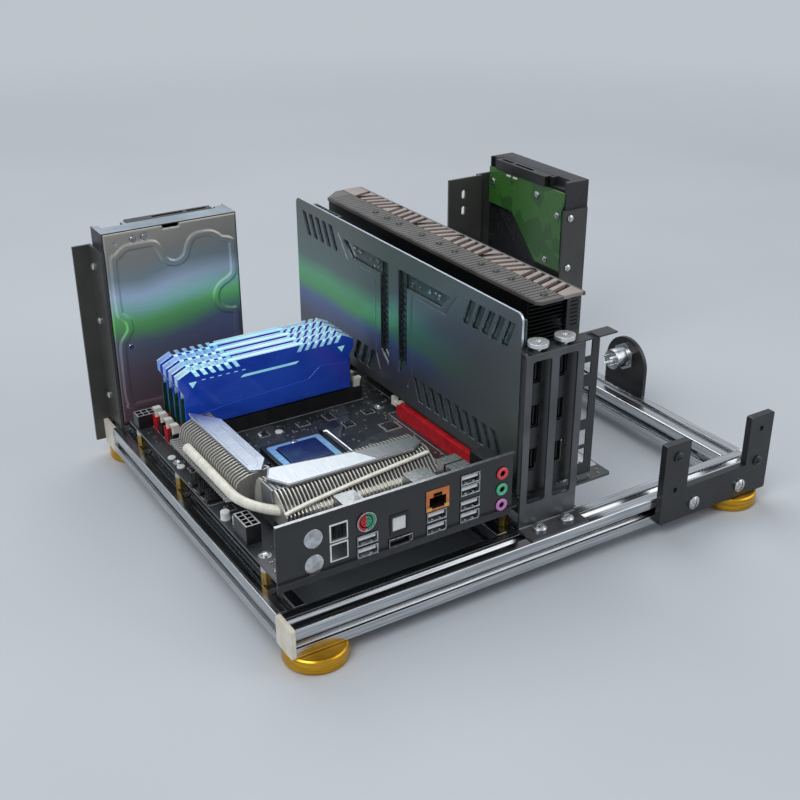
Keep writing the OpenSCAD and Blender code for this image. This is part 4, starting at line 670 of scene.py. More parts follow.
# %% Small parts' finishes
cover_brown = sprayed("warm_grey_coated_cover", "#4E4B49", "#5F5B58", 0.36)
bar_pink = sprayed("pale_warm_grey_bars", "#8F827C", "#A89A92", 0.34, coat=0.2)
light_pipe = moulded("amber_light_pipe", "#D9A441", "#EBC46E", 0.25)
chip_tan = moulded("barium_titanate_ceramic", "#8A7355", "#A88C68", 0.4)
chip_epoxy = moulded("black_epoxy_chip", "#1B1C1E", "#2A2B2E", 0.46)
print_white = moulded("white_printing_ink", "#C9CBCA", "#DDDFDE", 0.5)
# A paler grey that paints a highlight on the tops of black sockets.
painted_highlight_nylon = moulded("black_nylon_painted_highlight", "#8E8F90", "#A8A9AA", 0.3)
can_top = moulded("aluminium_can_top", "#C9CBCD", "#EDEEEF", 0.28)
solder = finish("bright_solder", "#C3C6C8", 0.3, metallic=0.8)
clouds(solder, 1.2, "#A9ACAE", "#DCDEE0")
wear(solder, 0.8, 0.2, 0.42)
track_grey = moulded("solder_mask_over_tracks", "#474D51", "#5A6165", 0.3)
print("small finishes made")


# %% [markdown]
# ## Broken edges
#
# A CAD solid has edges without any radius, and nothing real has: sheet has a
# bright line where it was cut, and castings are rounder still. A copy of each
# CAD piece gets its doubles merged, its flat faces joined, and a Bevel of the
# real edge's width. The copy then stands for its CAD node.

# %% Copy a CAD piece and break its edges
def softened(node, width, mats, body="bench", segments=2, turn_flat=0.4):
    """A copy of the node's mesh, its doubles merged and its flat faces joined, with a Bevel of that width."""
    mesh = nodes[node].data.copy()
    mesh.name = node + "_finished"
    bm = bmesh.new()
    bm.from_mesh(mesh)
    bmesh.ops.remove_doubles(bm, verts=bm.verts, dist=1e-6)
    bmesh.ops.dissolve_limit(bm, angle_limit=math.radians(turn_flat), verts=bm.verts, edges=bm.edges)
    bm.to_mesh(mesh)
    bm.free()
    mesh.materials.clear()
    for mat in mats if isinstance(mats, list) else [mats]:
        mesh.materials.append(mat)
    mesh.shade_smooth()
    mesh.set_sharp_from_angle(angle=crease)
    obj = bpy.data.objects.new(node + "_finished", mesh)
    bpy.context.scene.collection.objects.link(obj)
    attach(obj, body)
    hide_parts(node)
    if width:
        bevel(obj, width, segments)
    return obj


def by_place(obj, number, test):
    """Gives the faces whose middle in mm passes the test another material of the piece."""
    mesh = obj.data
    middle = np.empty(len(mesh.polygons) * 3)
    mesh.polygons.foreach_get("center", middle)
    slots = np.zeros(len(mesh.polygons), int)
    mesh.polygons.foreach_get("material_index", slots)
    passed = test(*(middle.reshape(-1, 3) * 1000).T)
    mesh.polygons.foreach_set("material_index", np.where(passed, number, slots).astype("int32"))


edge_widths = {
    "front_rail": (0.3, rail_x), "back_rail": (0.3, rail_x), "left_rail": (0.3, rail_y),
    "right_rail": (0.3, rail_y), "support_rails": (0.3, rail_y), "end_caps": (0.6, cap_abs),
    "feet": (0.3, gold), "rail_screws": (0.15, plated), "small_screws": (0.1, plated),
    "standoffs": (0.15, brass), "mainboard": (0.12, board_mask),
    "optical_port": (0.15, black_nylon), "display_ports": (0.12, black_nylon),
    "socket_frame": (0.15, black_nylon), "processor": (0.25, lid_nickel), "load_plate": (0.2, load_blue),
    "red_sockets": (0.15, red_nylon), "black_sockets": (0.15, black_nylon),
    "socket_latches": (0.4, cream_nylon), "memory_boards": (0.05, memory_mask),
    "capacitors": (0.5, can_metal), "card_slot": (0.2, red_nylon),
    "chipset_heatsink": (0.3, sink_dark), "card_board": (0.1, card_mask),
    "card_fins": (0.1, fin_black), "card_shroud": (0.4, shroud_abs),
    "card_bracket": (0.15, card_black), "slot_bracket": (0.2, holder_grey),
    "thumb_screws": (0.25, thumb_steel),
    "drive_angles": (0.3, angle_grey), "drive_plate": (0.3, angle_grey),
    "switch_plate": (0.35, plate_black), "switch_barrel": (0.2, button_steel),
    "switch_nut": (0.25, button_steel),
    "supply_plate": (0.5, plate_black), "supply_screws": (0.15, screw_black),
    "usb_ports": (0.1, steel_can), "heat_pipe": (0.0, pipe_paint),
}
finished = {}
for name, (width, mat) in edge_widths.items():
    finished[name] = softened(name, width, mat)
print(len(finished), "pieces have broken edges")

# %% [markdown]
# Four of these pieces move: the socket's lever lifts, the card slot's latch
# tips, the optical port's door swings in and the power button is pressed.
# Their copies ride on the moving bodies, so that every pose carries them
# along.

# %% Moving pieces keep their bodies
finished["socket_lever"] = softened("socket_lever", 0.0, wire_steel, "lever")
finished["slot_latch"] = softened("slot_latch", 0.3, cream_nylon, "latch")
finished["optical_door"] = softened("optical_door", 0.12, white_nylon, "flap")
finished["switch_button"] = softened("switch_button", 0.3, button_steel, "button")
print("lever, latch, flap and button ride on their own bodies")

# %% [markdown]
# Corner joiners and slot nuts lie inside the rails' slots, where nobody sees
# an edge. They keep their CAD mesh and only get their zinc finish.

# %% Hidden pieces inside the slots
for name in ("corner_joiners", "slot_nuts"):
    nodes[name].data.materials.clear()
    nodes[name].data.materials.append(zinc)
print("joiners and nuts are zinc plated")

# %% [markdown]
# ## Memory modules with light bars
#
# Each module wears two stamped aluminium plates, anodised royal blue, with a
# clear bar clamped between them. Light from the module leaves through the
# bar: over the whole top, through six slanted notches at each end, and
# through one long window in the face. The plates are outlines with their
# notches cut in, so each is one flat ring of points given a thickness.

# %% Finishes of the modules
blue_anodised = finish("royal_blue_anodised_aluminium", "#1F52DC", 0.2, 0.1, Coat_Weight=0.6,
                       Coat_Roughness=0.08)
clouds(blue_anodised, 26.0, "#1A48CC", "#2E63EE", (0.5, 1, 1))
wear(blue_anodised, 12.0, 0.14, 0.28)
# The bar's light falling on the plates is painted into this pale colour.
bar_glow_blue = finish("pale_blue_painted_bar_glow", "#A9CBEF", 0.3, 0.3)
clouds(bar_glow_blue, 30.0, "#A9C0F0", "#E2F8FB", (0.4, 1, 1))
light_bar = finish("lit_clear_acrylic", "#A8E6F2", 0.25, Emission_Color="#9FE6F4", Emission_Strength=0.35)
clouds(light_bar, 16.0, "#7FD6EC", "#D6F5FA", (0.5, 1, 1))
print("blue, pale edge and light bar")

# %% [markdown]
# The outline is written once for the right half and mirrored. The top
# surfaces, the walls of the notches and the inner sides of the plates glow
# pale, because the bar's light falls on them, so that light is painted into
# the second finish of those faces.

# %% Plates, notches and bars
half, foot, top, waist = 68.0, 12.0, memory_h, 3.5     # half length, lower edge, upper edge, set-back
inside, outside = 2.0, 3.95                            # faces of a plate from the module's middle
slots = [16 + 6 * k for k in range(6)]


def plate_outline():
    """The plate's edge: foot, end, chamfer, then six notches from each end that lean outwards."""
    end = [[half - waist, foot], [half - waist, top - 17], [half, top - 11], [half, top - 4.5],
           [half - 9.5, top]]
    teeth = [[[half - s + 6.2, top], [half - s + 3, top - 5], [half - s, top - 5], [half - s + 3.2, top]]
             for s in slots]
    right = np.array(end + [p for tooth in teeth for p in tooth])
    return np.concatenate([right, right[::-1] * [-1, 1]])


rows = memory + np.outer(range(memory_n), [0, memory_pitch, 0])
plates = [plate(plate_outline(), *sorted((s * inside, s * outside))) for s in (-1, 1)]
shells = piece("memory_plates", repeat(join(*plates), rows), blue_anodised, smooth=False)
shells.data.materials.append(bar_glow_blue)
normals = np.array([p.normal for p in shells.data.polygons])
middles = np.array([p.center for p in shells.data.polygons]) * 1000 - memory
offset = (middles[:, 1] + memory_pitch / 2) % memory_pitch - memory_pitch / 2
inner = (normals[:, 1] * offset < -1.5) & (np.abs(normals[:, 1]) > 0.9)
notch = (np.abs(normals[:, 0]) > 0.3) & (middles[:, 2] > top - 5.5) & (np.abs(middles[:, 0]) < 57)
lit_faces = (normals[:, 2] > 0.3) | inner | notch
shells.data.polygons.foreach_set("material_index", lit_faces.astype("int32"))
bevel(shells, 0.3)
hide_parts("heat_spreaders")

core_line = [[-64, 46], [-59, 52.6], [-29.5, 52.6], [-28.5, 54.6], [28.5, 54.6], [29.5, 52.6], [59, 52.6],
             [64, 46], [64, 40], [60, 38], [-60, 38], [-64, 40]]
bars = piece("memory_light_bars", repeat(plate(core_line, -inside, inside), rows), light_bar, smooth=False)
bevel(bars, 0.3)
print(len(shells.data.polygons), "faces in the plates of", memory_n, "modules")

# %% [markdown]
# The long window, the small arrows at the ends and the dashes under the
# notches are prints on the front plate: very thin pieces on its face. A
# shallow raised panel, pressed with a diagonal crease, catches the light
# below them.

# %% Panel, window, arrows and dashes
panel_line = np.array([[-62, 13], [62, 13], [62, 33], [40, 35.5], [30, 27], [-30, 24], [-62, 20.5]])
panel = piece("memory_front_panel", repeat(plate(panel_line, -outside - 0.3, -outside + 0.05), rows),
              blue_anodised, smooth=False)
bevel(panel, 0.25)
window = [[-22.5, 41.3], [20.6, 41.3], [23.4, 43.1], [-19.7, 43.1]]
arrows = [[[s * 58, 42], [s * 54.6, 46.5], [s * 60.5, 46.5]][::s] for s in (-1, 1)]
dash = np.array([[1, 46.4], [3.6, 46.4], [3.9, 46.9], [1.3, 46.9]])
dashes = [dash + [s - half, 0] for s in slots]
marks = join(*[plate(line, -outside - 0.1, -outside + 0.05) for line in [window, *arrows, *dashes]])
piece("memory_prints", repeat(marks, rows), light_bar, smooth=False)
print("window, arrows and dashes on", memory_n, "plates")

# %% [markdown]
# ## Power stage heatsinks
#
# Two blocks of thin fins cool the power stages, and a painted heat pipe runs
# through both. Real fins are sheets about a millimetre thick, stamped with a
# bulged outer edge and pressed onto the pipe. The CAD model has coarser ones. Each fin is a grid: steps along its
# depth, and at each step a ring of four points, so its top and bottom follow
# two curves and its middle bows sideways.

# %% Fins
def fin_block(length, depth, top_line, bow, thick=0.8, pitch=2.6, low_line=((0, 7), (1, 7)), steps=18):
    """Fin k stands at k pitches; at depth u its top and foot follow two lines and it bows by bow sin(pi u)."""
    u = np.linspace(0, 1, steps)
    knots, heights = np.array(top_line, float).T
    high = np.interp(u, knots, heights)
    low = np.interp(u, *np.array(low_line, float).T)
    side = bow * np.sin(np.pi * u)
    edges = ((-1, low), (1, low), (1, high), (-1, high))
    ring = np.stack([np.stack([side + s * thick / 2, u * depth, z], -1) for s, z in edges], 1)
    faces = grid(steps, 4, wrap_v=True).tolist() + [[0, 1, 2, 3], [steps * 4 - 1 - k for k in range(4)]]
    count = int((length - thick - 2 * abs(bow)) // pitch) + 1
    first = (length - (count - 1) * pitch) / 2
    return repeat((ring.reshape(-1, 3), faces), [[first + k * pitch, 0, 0] for k in range(count)])


def quarter(shape, corner):
    """Turns a block so that its length runs backwards along -Y from the corner and its depth along +X."""
    points, faces = shape
    return np.stack([points[:, 1], -points[:, 0], points[:, 2]], 1) + corner, faces


side_h, front_h, lid_t = 28.0, 31.0, 2.4       # heights of both blocks, and what their lids take of it
foot_out = 6.0                                 # how far the side fins reach out under the pipe
side_line = [(0, 12.6), (0.2, 13.2), (0.22, 20.6), (0.3, 23.2), (0.47, side_h - lid_t),
             (0.94, side_h - lid_t), (1, 17)]
side_low = [(0, 9.4), (0.17, 9.4), (0.2, 7), (1, 7)]
front_line = [(0, 20), (0.12, 22), (0.16, 22.8), (0.2, 24.6), (0.3, 26.6), (0.38, front_h - lid_t),
              (0.92, front_h - lid_t), (1, 18)]
side_at, front_at = board + [11.5, 82, 0], board + [20, 33, 0]
side_len, side_dep, front_len, front_dep = 97.0, 26.0, 111.0, 44.0
side_fins = fin_block(side_len, side_dep + foot_out, side_line, 3.0, 1.0, 3.3, side_low)
fins_side = piece("side_heatsink_fins", quarter(side_fins, side_at + [-foot_out, side_len, 0]), sink_fin)
points, faces = fin_block(front_len, front_dep, front_line, 1.8)
fins_front = piece("front_heatsink_fins", (points + front_at, faces), sink_fin)
print(len(fins_side.data.polygons) + len(fins_front.data.polygons), "faces in both blocks of fins")

# %% [markdown]
# Each block has a spine that carries the heat, two posts to the board, and a
# lid with bevelled borders. The side lid has a striped slope towards the
# processor; the front lid is bright at the left and brushed grey at the
# right, and a painted lip runs along its front.

# %% Spines, lids and lip
def strip(points, low, high, at, name, mat, width=0.4):
    """A plate between two heights over an outline measured from a corner."""
    shape = plate(np.array(points, float) + at[:2], at[2] + low, at[2] + high, axis=2)
    return bevel(piece(name, shape, mat, smooth=False), width)


def box_line(x0, x1, y0, y1):
    """The four corners of a rectangle."""
    return [[x0, y0], [x1, y0], [x1, y1], [x0, y1]]


strip(box_line(0.45 * side_dep, 0.8 * side_dep, 2, side_len - 2), 3, side_h - lid_t, side_at,
      "side_heatsink_spine", sink_grey)
strip(box_line(2, front_len - 2, 0.45 * front_dep, 0.8 * front_dep), 3, front_h - lid_t, front_at,
      "front_heatsink_spine", sink_grey)
posts = [side_at + [0.62 * side_dep, k * side_len, 0] for k in (0.1, 0.9)]
posts += [front_at + [k * front_len, 0.62 * front_dep, 0] for k in (0.1, 0.9)]
piece("heatsink_posts", repeat(turned([[0, 0], [2.5, 0], [2.5, 4.2], [0, 4.2]], 20), posts), plated)

lid_side = strip([[11, 3], [18, 0], [26, 12], [25, 77], [10, 97], [9, 89]], side_h - lid_t, side_h - 0.4,
                 side_at, "side_heatsink_lid", sink_silver)
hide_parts("side_heatsink")
strip([[12.4, 8], [17.6, 5], [20.4, 11], [19.6, 72], [12.4, 88], [11.6, 84]], side_h - 0.5, side_h,
      side_at, "side_heatsink_crown", sink_silver, 0.3)
stripes = repeat(plate([[0, 0], [4.6, 1.2], [4.6, 2.1], [0, 0.9]], 0, 0.35, axis=2),
                 side_at + [[20.3, 15 + 1.8 * k, side_h - 0.45] for k in range(30)])
piece("side_heatsink_stripes", stripes, sink_silver, smooth=False)

lid_front = strip([[4.4, 32], [12.7, 17.7], [101, 16.5], [109, 21.5], [111, 31.5], [71, 33.2], [10.7, 43.4]],
                  front_h - lid_t, front_h - 0.4, front_at, "front_heatsink_lid", sink_grey)
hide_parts("front_heatsink")
strip([[5.6, 32], [13.4, 18.7], [74, 17.9], [66, 32.4], [11.4, 42]], front_h - 0.5, front_h,
      front_at, "front_heatsink_bright_lid", sink_bright, 0.25)
strip([[75.6, 17.9], [100.6, 17.6], [107.6, 22], [109.4, 30.8], [67.6, 32.3]], front_h - 0.5,
      front_h - 0.1, front_at, "front_heatsink_grey_lid", sink_grey, 0.25)

s = np.linspace(0, 1, 40)
lip_path = np.stack([2 + 107 * s, 2.2 + 10.6 * s ** 0.8, 21 + 6.6 * s ** 0.7], 1) + front_at
lip_section = [[-1.7, -0.8], [-1.5, 0.7], [1.4, 0.8], [1.6, -0.6]]
bevel(piece("front_heatsink_lip", along(lip_path, lip_section), pipe_paint), 0.3)
print("lids, stripes and lip are on")

# %% [markdown]
# ## Drive covers with a rolled bead
#
# A drive's cover is a stamped sheet. A bead is rolled into it to stiffen it,
# and it winds round the platters and the arm. The cover is therefore a
# height field: every point of a fine grid asks how far it is from the
# bead's path, and rises by a smooth step of that distance. The same rule
# rounds the cover's border and sinks three screw dimples and a notch.

# %% The bead as a height field
bead_path = rounded(np.array([
    [6, 22], [6, 50], [6.6, 63], [9.6, 68], [12.4, 72], [13, 76], [11.8, 81], [8.6, 84.6], [6.4, 90],
    [6.2, 125], [8.4, 129], [15, 134.2], [20, 134.8], [34.5, 134.8], [38.6, 132.6], [41.4, 127.6],
    [43.8, 122], [47.4, 118.4], [52.1, 117.1], [56.8, 118.4], [60.4, 122], [62.6, 128.4], [65.6, 132.8],
    [70, 134.8], [79, 134.8], [84.4, 132.4], [88.4, 129], [92.6, 127.8], [95.4, 126.4], [96.6, 123],
    [96.6, 104], [95.2, 99.6], [91.4, 96.8], [86.4, 94.2], [82.6, 90.2], [81.2, 84.4], [82.4, 78.8],
    [86, 74.6], [91, 72.6], [94.8, 71.2], [96.4, 67.6], [96.4, 22], [94.6, 15.6], [88.6, 12.6],
    [14, 12.6], [8, 15.6]]), 4)


def step(x):
    """A smooth step: 0 below 0, 1 above 1, and x squared times (3 - 2 x) between."""
    x = np.clip(x, 0, 1)
    return x * x * (3 - 2 * x)


def distance(p, a, b):
    """Nearest distance from each point to a chain of segments a to b, by clamped projection."""
    way = b - a
    t = np.clip(((p[:, None] - a) * way).sum(-1) / (way ** 2).sum(-1), 0, 1)
    return np.sqrt((((p[:, None] - a) - t[..., None] * way) ** 2).sum(-1)).min(1)


gap, bead_h, bend_r, sheet_t = 0.8, 0.9, 0.9, 1.0      # border to the case, bead, rim's radius, depth
dimples = np.array([[22.0, 140.2, 2.6, 0.8], [30.5, 140.6, 3.0, 0.8], [12.5, 60.0, 2.4, 0.8],
                    [9.0, 139.0, 1.5, 0.35]])          # x, z, radius and depth


def spread(length, n):
    """Even steps along a side, and closer ones where the sheet bends round at both ends."""
    close = np.array([gap, gap + 0.05, gap + 0.25])
    return np.concatenate([close, np.linspace(gap + 0.6, length - gap - 0.6, n), (length - close)[::-1]])


def border(n, m):
    """Numbers of the points on the border of an n by m grid, once round."""
    return np.concatenate([np.arange(n) * m, (n - 1) * m + np.arange(1, m),
                           np.arange(n - 2, -1, -1) * m + m - 1, np.arange(m - 2, 0, -1)])


def cover(name, mat, place):
    """Each point stands off by step((2.9 - distance to the bead) / 1.5), less dimples, notch and round rim."""
    u, v = spread(drive_w, 166), spread(drive_l, 241)
    points = np.stack(np.meshgrid(u, v, indexing="ij"), -1).reshape(-1, 2)
    near = np.concatenate([distance(part, bead_path, np.roll(bead_path, -1, 0)) for part in
                           np.array_split(points, 16)])
    rise = bead_h * step((2.9 - near) / 1.5)
    for x, z, r, deep in dimples:
        rise -= deep * step((r - np.hypot(points[:, 0] - x, points[:, 1] - z)) / 0.7)
    from_middle, from_top = np.abs(points[:, 0] - drive_w / 2), drive_l - points[:, 1]
    rise -= sheet_t * step((7.0 - from_middle) / 0.8) * step((4.0 - from_top) / 0.8)
    inner = np.minimum(points, np.array([drive_w, drive_l]) - points).min(1) - gap
    rise += bend_r * np.sqrt(np.clip(1 - (1 - np.clip(inner / bend_r, 0, 1)) ** 2, 0, 1)) - bend_r
    surface = np.stack([points[:, 0], -rise, points[:, 1]], 1)
    rim, k = border(len(u), len(v)), len(surface)
    back = surface[rim] * [1, 0, 1] + [0, sheet_t, 0]
    after, count = np.roll(rim, -1), np.arange(len(rim))
    ring = np.stack([rim, after, k + np.roll(count, -1), k + count], 1).tolist()
    faces = grid(len(u), len(v)).tolist() + ring + [(k + count).tolist()]
    return piece(name, (place(np.concatenate([surface, back])), faces), mat)


def stand_left(p):
    """Drawn x, y and z stay as they are, from the left drive's corner."""
    return p + left_drive


def stand_right(p):
    """The right drive is turned a quarter about Z: its width runs along +Y and its cover faces +X."""
    return np.stack([-p[:, 1], p[:, 0], p[:, 2]], 1) + right_drive


cover_left = cover("left_drive_cover", cover_painted_reflection, stand_left)
cover("right_drive_cover", cover_painted_reflection, stand_right)
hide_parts("drive_covers")
slotted = join(turned([[0, 0.62], [1.9, 0.62], [2.1, 0.4], [2.1, 0], [0, 0]], 24, axis=1),
               turned([[0, 0.64], [0.75, 0.64], [0.75, 0.5], [0, 0.5]], 6, axis=1))
in_dimples = np.insert(dimples[:3, :2], 1, 0.1, axis=1)
for side, stand in (("left", stand_left), ("right", stand_right)):
    points, faces = repeat((np.asarray(slotted[0]) * [1, -1, 1], slotted[1]), in_dimples)
    piece(side + "_cover_screws", (stand(points), faces), plated)
print(len(cover_left.data.polygons), "faces in one cover")

# %% [markdown]
# Along its top edge the left drive's casting gets a pale silver finish, a
# painted reflection of the light at a grazing angle. Behind, each drive shows
# a green board. Its blocks at the top edge are black plastic; two white strips
# and some plated pads are soldered to it, and the ribbed channel of the
# casting lies open beside it.

# %% Drive boards
cases = softened("drive_cases", 0.5, [cast_black, casting_painted_reflection])
# The left drive's top faces get the painted reflection.
by_place(cases, 1, lambda x, y, z: (x < left_drive[0] + drive_w + 1) & (z > left_drive[2] + drive_l - 0.5))
boards = softened("drive_boards", 0.12, [drive_mask, black_nylon])
by_place(boards, 1, lambda x, y, z: z > left_drive[2] + drive_l - 8.2)


def on_back(shape):
    """The same small pieces on the backs of both drives."""
    points, faces = shape
    points = np.asarray(points, float)
    return join((stand_left(points), faces), (stand_right(points), faces))


def block(w, d, h, at=(0, 0, 0)):
    """A box by its three sides, standing on its own corner."""
    return plate(np.array(box_line(0, w, 0, d), float) + np.array(at[:2]), at[2], at[2] + h, axis=2)


strips = join(block(5.4, 0.7, 1.4, (60, 25.3, 136.4)), block(5.4, 0.7, 1.4, (69, 25.3, 136.4)))
piece("drive_white_strips", on_back(strips), white_nylon, smooth=False)
dots = np.random.default_rng(5)
spots = np.stack([dots.uniform(60, 96, 40), np.full(40, 25.25), dots.uniform(84, 132, 40)], 1)
pad = turned([[0, 0.14], [0.5, 0.14], [0.5, 0], [0, 0]], 8, axis=1)
piece("drive_pads", on_back(repeat(pad, spots)), plated)
print("boards have black blocks, white strips and", len(spots), "pads each")

# %% [markdown]
# ## The graphics card's backplate
#
# The backplate is anodised. Its narrow walls and broken edges get a paler
# silver finish, a painted highlight that draws a bright line round the plate
# and every opening.

# %% Backplate with a painted highlight on its edges
backplate = softened("card_backplate", 0.3, [plate_painted_reflection, sink_silver])
# The walls and the bevel take the paler silver: a painted highlight.
walls = np.array([abs(p.normal.x) < 0.5 for p in backplate.data.polygons])
backplate.data.polygons.foreach_set("material_index", walls.astype("int32"))
backplate.modifiers[-1].material = 1
print(len(backplate.data.polygons), "faces in the backplate")

# %% [markdown]
# ## Fans with swept blades
#
# An axial fan's blade twists: it stands steep at the hub and lies flatter at
# the tip, and its leading edge sweeps forward. Each blade is a grid over
# radius and chord. The angle round the axle grows with the chord and with
# the radius's sweep, the height over the fan's depth follows the pitch, and
# a small camber bows the middle. Front and back surfaces lie 1 mm apart.

# %% Blades, hubs and labels
def blade(n_r=9, n_c=8, thick=0.9):
    """At radius r and chord c the angle is width (c - 1/2) + sweep f^1.5 and x is pitch (1/2 - c) + camber sin(pi c);
    f runs from 0 at the hub to 1 at the tip, and the width and the pitch shrink with it."""
    r = np.linspace(hub_r - 1, fan_r - 0.3, n_r)[:, None]
    c = np.linspace(0, 1, n_c)[None, :]
    f = (r - hub_r + 1) / (fan_r - hub_r)
    angle = (0.56 - 0.1 * f) * (c - 0.5) + 0.42 * f ** 1.5
    x = (0.5 - c) * (5.8 - 2.2 * f) + 0.7 * np.sin(np.pi * c)
    ring = []
    for s in (-0.5, 0.5):
        t = s * thick * (1 - 0.55 * np.abs(2 * c - 1))
        ring.append(np.stack([x + t, r * np.cos(angle), r * np.sin(angle)], -1))
    points = np.concatenate([ring[0].reshape(-1, 3), ring[1].reshape(-1, 3)])
    k = n_r * n_c
    faces = grid(n_r, n_c).tolist() + (grid(n_r, n_c)[:, ::-1] + k).tolist()
    edge = border(n_r, n_c)[::-1]
    after = np.roll(edge, -1)
    faces += np.stack([edge, after, after + k, edge + k], 1).tolist()
    return points, faces


def rotor(count=9):
    """Blades at even angles round the X axis."""
    points, faces = blade()
    a = np.arange(count) * 2 * np.pi / count
    c, s = np.cos(a)[:, None], np.sin(a)[:, None]
    all_points = np.stack([np.broadcast_to(points[:, 0], (count, len(points))),
                           c * points[:, 1] - s * points[:, 2], s * points[:, 1] + c * points[:, 2]], -1)
    all_faces = np.asarray(faces)[None] + len(points) * np.arange(count)[:, None, None]
    return all_points.reshape(-1, 3), all_faces.reshape(-1, 4).tolist()


hub_line = [[1.56, 0], [1.56, 7.4], [4, 7.7], [8.6, 7.7], [8.9, 7.5], [13.6, 7.3], [15.6, 6.9], [16.7, 6.0],
            [17, 4.8], [17, 0.3], [16.6, 0], [15.4, 0], [15.4, 3], [1.56, 3]]
for name, y in zip(("front", "middle", "rear"), fan_y):
    at = np.array([shroud_x + 2.5, y, fan_z])
    hub = turned(hub_line, 64, axis=0)
    points, faces = rotor()
    both = join((hub[0] + at, hub[1]), (points + at + [3.6, 0, 0], faces))
    piece("fan_" + name + "_rotor", both, blade_abs, body="rotor_" + name)
    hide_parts("fan_" + name)
    label = turned([[0, 7.74], [8.3, 7.74], [8.3, 7.6], [0, 7.6]], 48, axis=0, centre=at)
    piece("fan_" + name + "_label", label, label_foil, body="rotor_" + name)

# %% [markdown]
# ## The cover over the fins
#
# One half of the cover is a grooved, dark sheet with low bosses. The other
# is a row of separate bars in a frame: after every fourth bar they lean the
# other way. Each bar is a leaning outline with a thickness, and its edges are
# broken, because they catch the light first.

# %% Cover, grooves, bosses and bars
cover_y = bracket_y + 13
cover_len, cover_w = card_back - 2 - cover_y, card_right - fins_x - 2.5
at = np.array([fins_x, cover_y, fin_top])
split, bar_x = cover_w * 0.52, cover_w * 0.54
left_line = [[0, 3], [3, 0], [split, 0], [split, cover_len], [14, cover_len], [0, cover_len - 12]]
card_cover = strip(left_line, 0, 2.55, at, "card_cover_sheet", cover_brown, 0.3)
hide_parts("card_top")
rib_y = np.arange(4.6, cover_len - 14, 4.0)
ribs = repeat(plate(box_line(0.6, split - 0.3, 0, 3.1), 2.4, 3.0, axis=2), at + np.outer(rib_y, [0, 1, 0]))
bevel(piece("card_cover_ribs", ribs, cover_brown, smooth=False), 0.15)
spots = np.array([0.03, 0.15, 0.21, 0.27, 0.38, 0.45, 0.53, 0.64, 0.7, 0.76]) * cover_len
bosses = repeat(turned([[0, 4.0], [1.6, 4.0], [2.2, 3.8], [2.6, 3.0], [3.0, 2.4], [0, 2.4]], 28),
                at + np.stack([0 * spots + cover_w * 0.3, spots, 0 * spots], 1))
piece("card_cover_bosses", bosses, shroud_abs)
frame_line = [box_line(split, bar_x, 0, cover_len), box_line(cover_w * 0.945, cover_w, 0, cover_len)]
rails_of_bars = join(*[plate(np.array(l, float) + at[:2], at[2], at[2] + 2.6, axis=2) for l in frame_line])
bevel(piece("card_cover_frame", rails_of_bars, cover_brown, smooth=False), 0.25)
pitch, slit, lean, first = 8.2, 3.0, 2.4, 10.0
count = int((cover_len - 26) // pitch) + 1
bars_shape = []
for k in range(count + 1):
    s0 = lean if (k - 1) % 10 < 5 else -lean
    s1 = lean if k % 10 < 5 else -lean
    y0, y1 = first + (k - 1) * pitch + slit + 0.7, first + k * pitch - 0.7
    y0, y1 = (0, y1) if k == 0 else ((y0, cover_len) if k == count else (y0, y1))
    a0, b0 = (0, 0) if k == 0 else (y0 - s0, y0 + s0)
    a1, b1 = (cover_len, cover_len) if k == count else (y1 - s1, y1 + s1)
    line = np.array([[bar_x, a0], [cover_w * 0.945, b0], [cover_w * 0.945, b1], [bar_x, a1]])
    bars_shape.append(plate(line + at[:2], at[2] + 0.4, at[2] + 3.0, axis=2))
bevel(piece("card_cover_bars", join(*bars_shape), bar_pink, smooth=False), 0.35)
print(count, "slits and", len(spots), "bosses")

# %% [markdown]
# Behind the backplate's angled slots, the copper side of the card shows a
# ladder of small parts along each edge. Two rows of rungs with their side
# bars stand just behind the sheet, inside the slot's opening.

# %% Ladders in the angled slots
plate_len = 292.0
middle = bracket_y + 1.25 + plate_len / 2              # the two angled slots mirror each other about it
low_z = card_high - 13.5 - 0.62 * card_h               # lower end of the slots
ladder = []
for e in (-1, 1):
    for off in (1.4, 9.2):
        y = middle + e * (6.6 + off)
        ladder.append(plate(box_line(y - 0.3, y + 0.3, low_z + 9, card_high - 15), card_x - 2.0, card_x - 1.1, axis=0))
    for z in np.arange(low_z + 11, card_high - 25, 4.6):
        for near, far in ((8.1, 10.6), (12.9, 15.6)):
            y0, y1 = sorted((middle + e * near, middle + e * far))
            rung = [[y0, z], [y1, z + 1.2], [y1, z + 2.2], [y0, z + 1.0]]
            ladder.append(plate(rung, card_x - 2.0, card_x - 1.2, axis=0))
piece("card_slot_ladders", join(*ladder), black_nylon, smooth=False)
parts = np.random.default_rng(11)
chips = []
for e in (-1, 1):
    for k in range(9):
        y = middle + e * parts.uniform(20, 58)
        z = card_high - parts.uniform(17, 22.5)
        w, h = parts.uniform(1.2, 3.4), parts.uniform(0.8, 2.0)
        chips.append(plate(box_line(y, y + w, z, z + h), card_x - 1.9, card_x - 0.75, axis=0))
piece("card_slot_chips", join(*chips), plated, smooth=False)
print(len(ladder), "ladder parts and", len(chips), "chips behind the slots")

# %% [markdown]
# ## The rear panel's sockets
#
# Every socket is a tinned steel can behind the shield, and only its mouth has
# a colour. The CAD cans therefore get steel behind the first few
# millimetres, black inside, and new small parts in the mouth: a tongue with
# gold contacts for each plug, coloured rings for the sound jacks, and two
# half discs with pin holes for keyboard and mouse.

# %% Cans and mouths
def where(low, high):
    """A test for faces whose middle, in mm from the mainboard's rear left corner, lies inside a box."""
    def in_box(x, y, z):
        p = np.stack([x, y, z], 1) - board
        return ((p > low) & (p < high)).all(1)
    return in_box


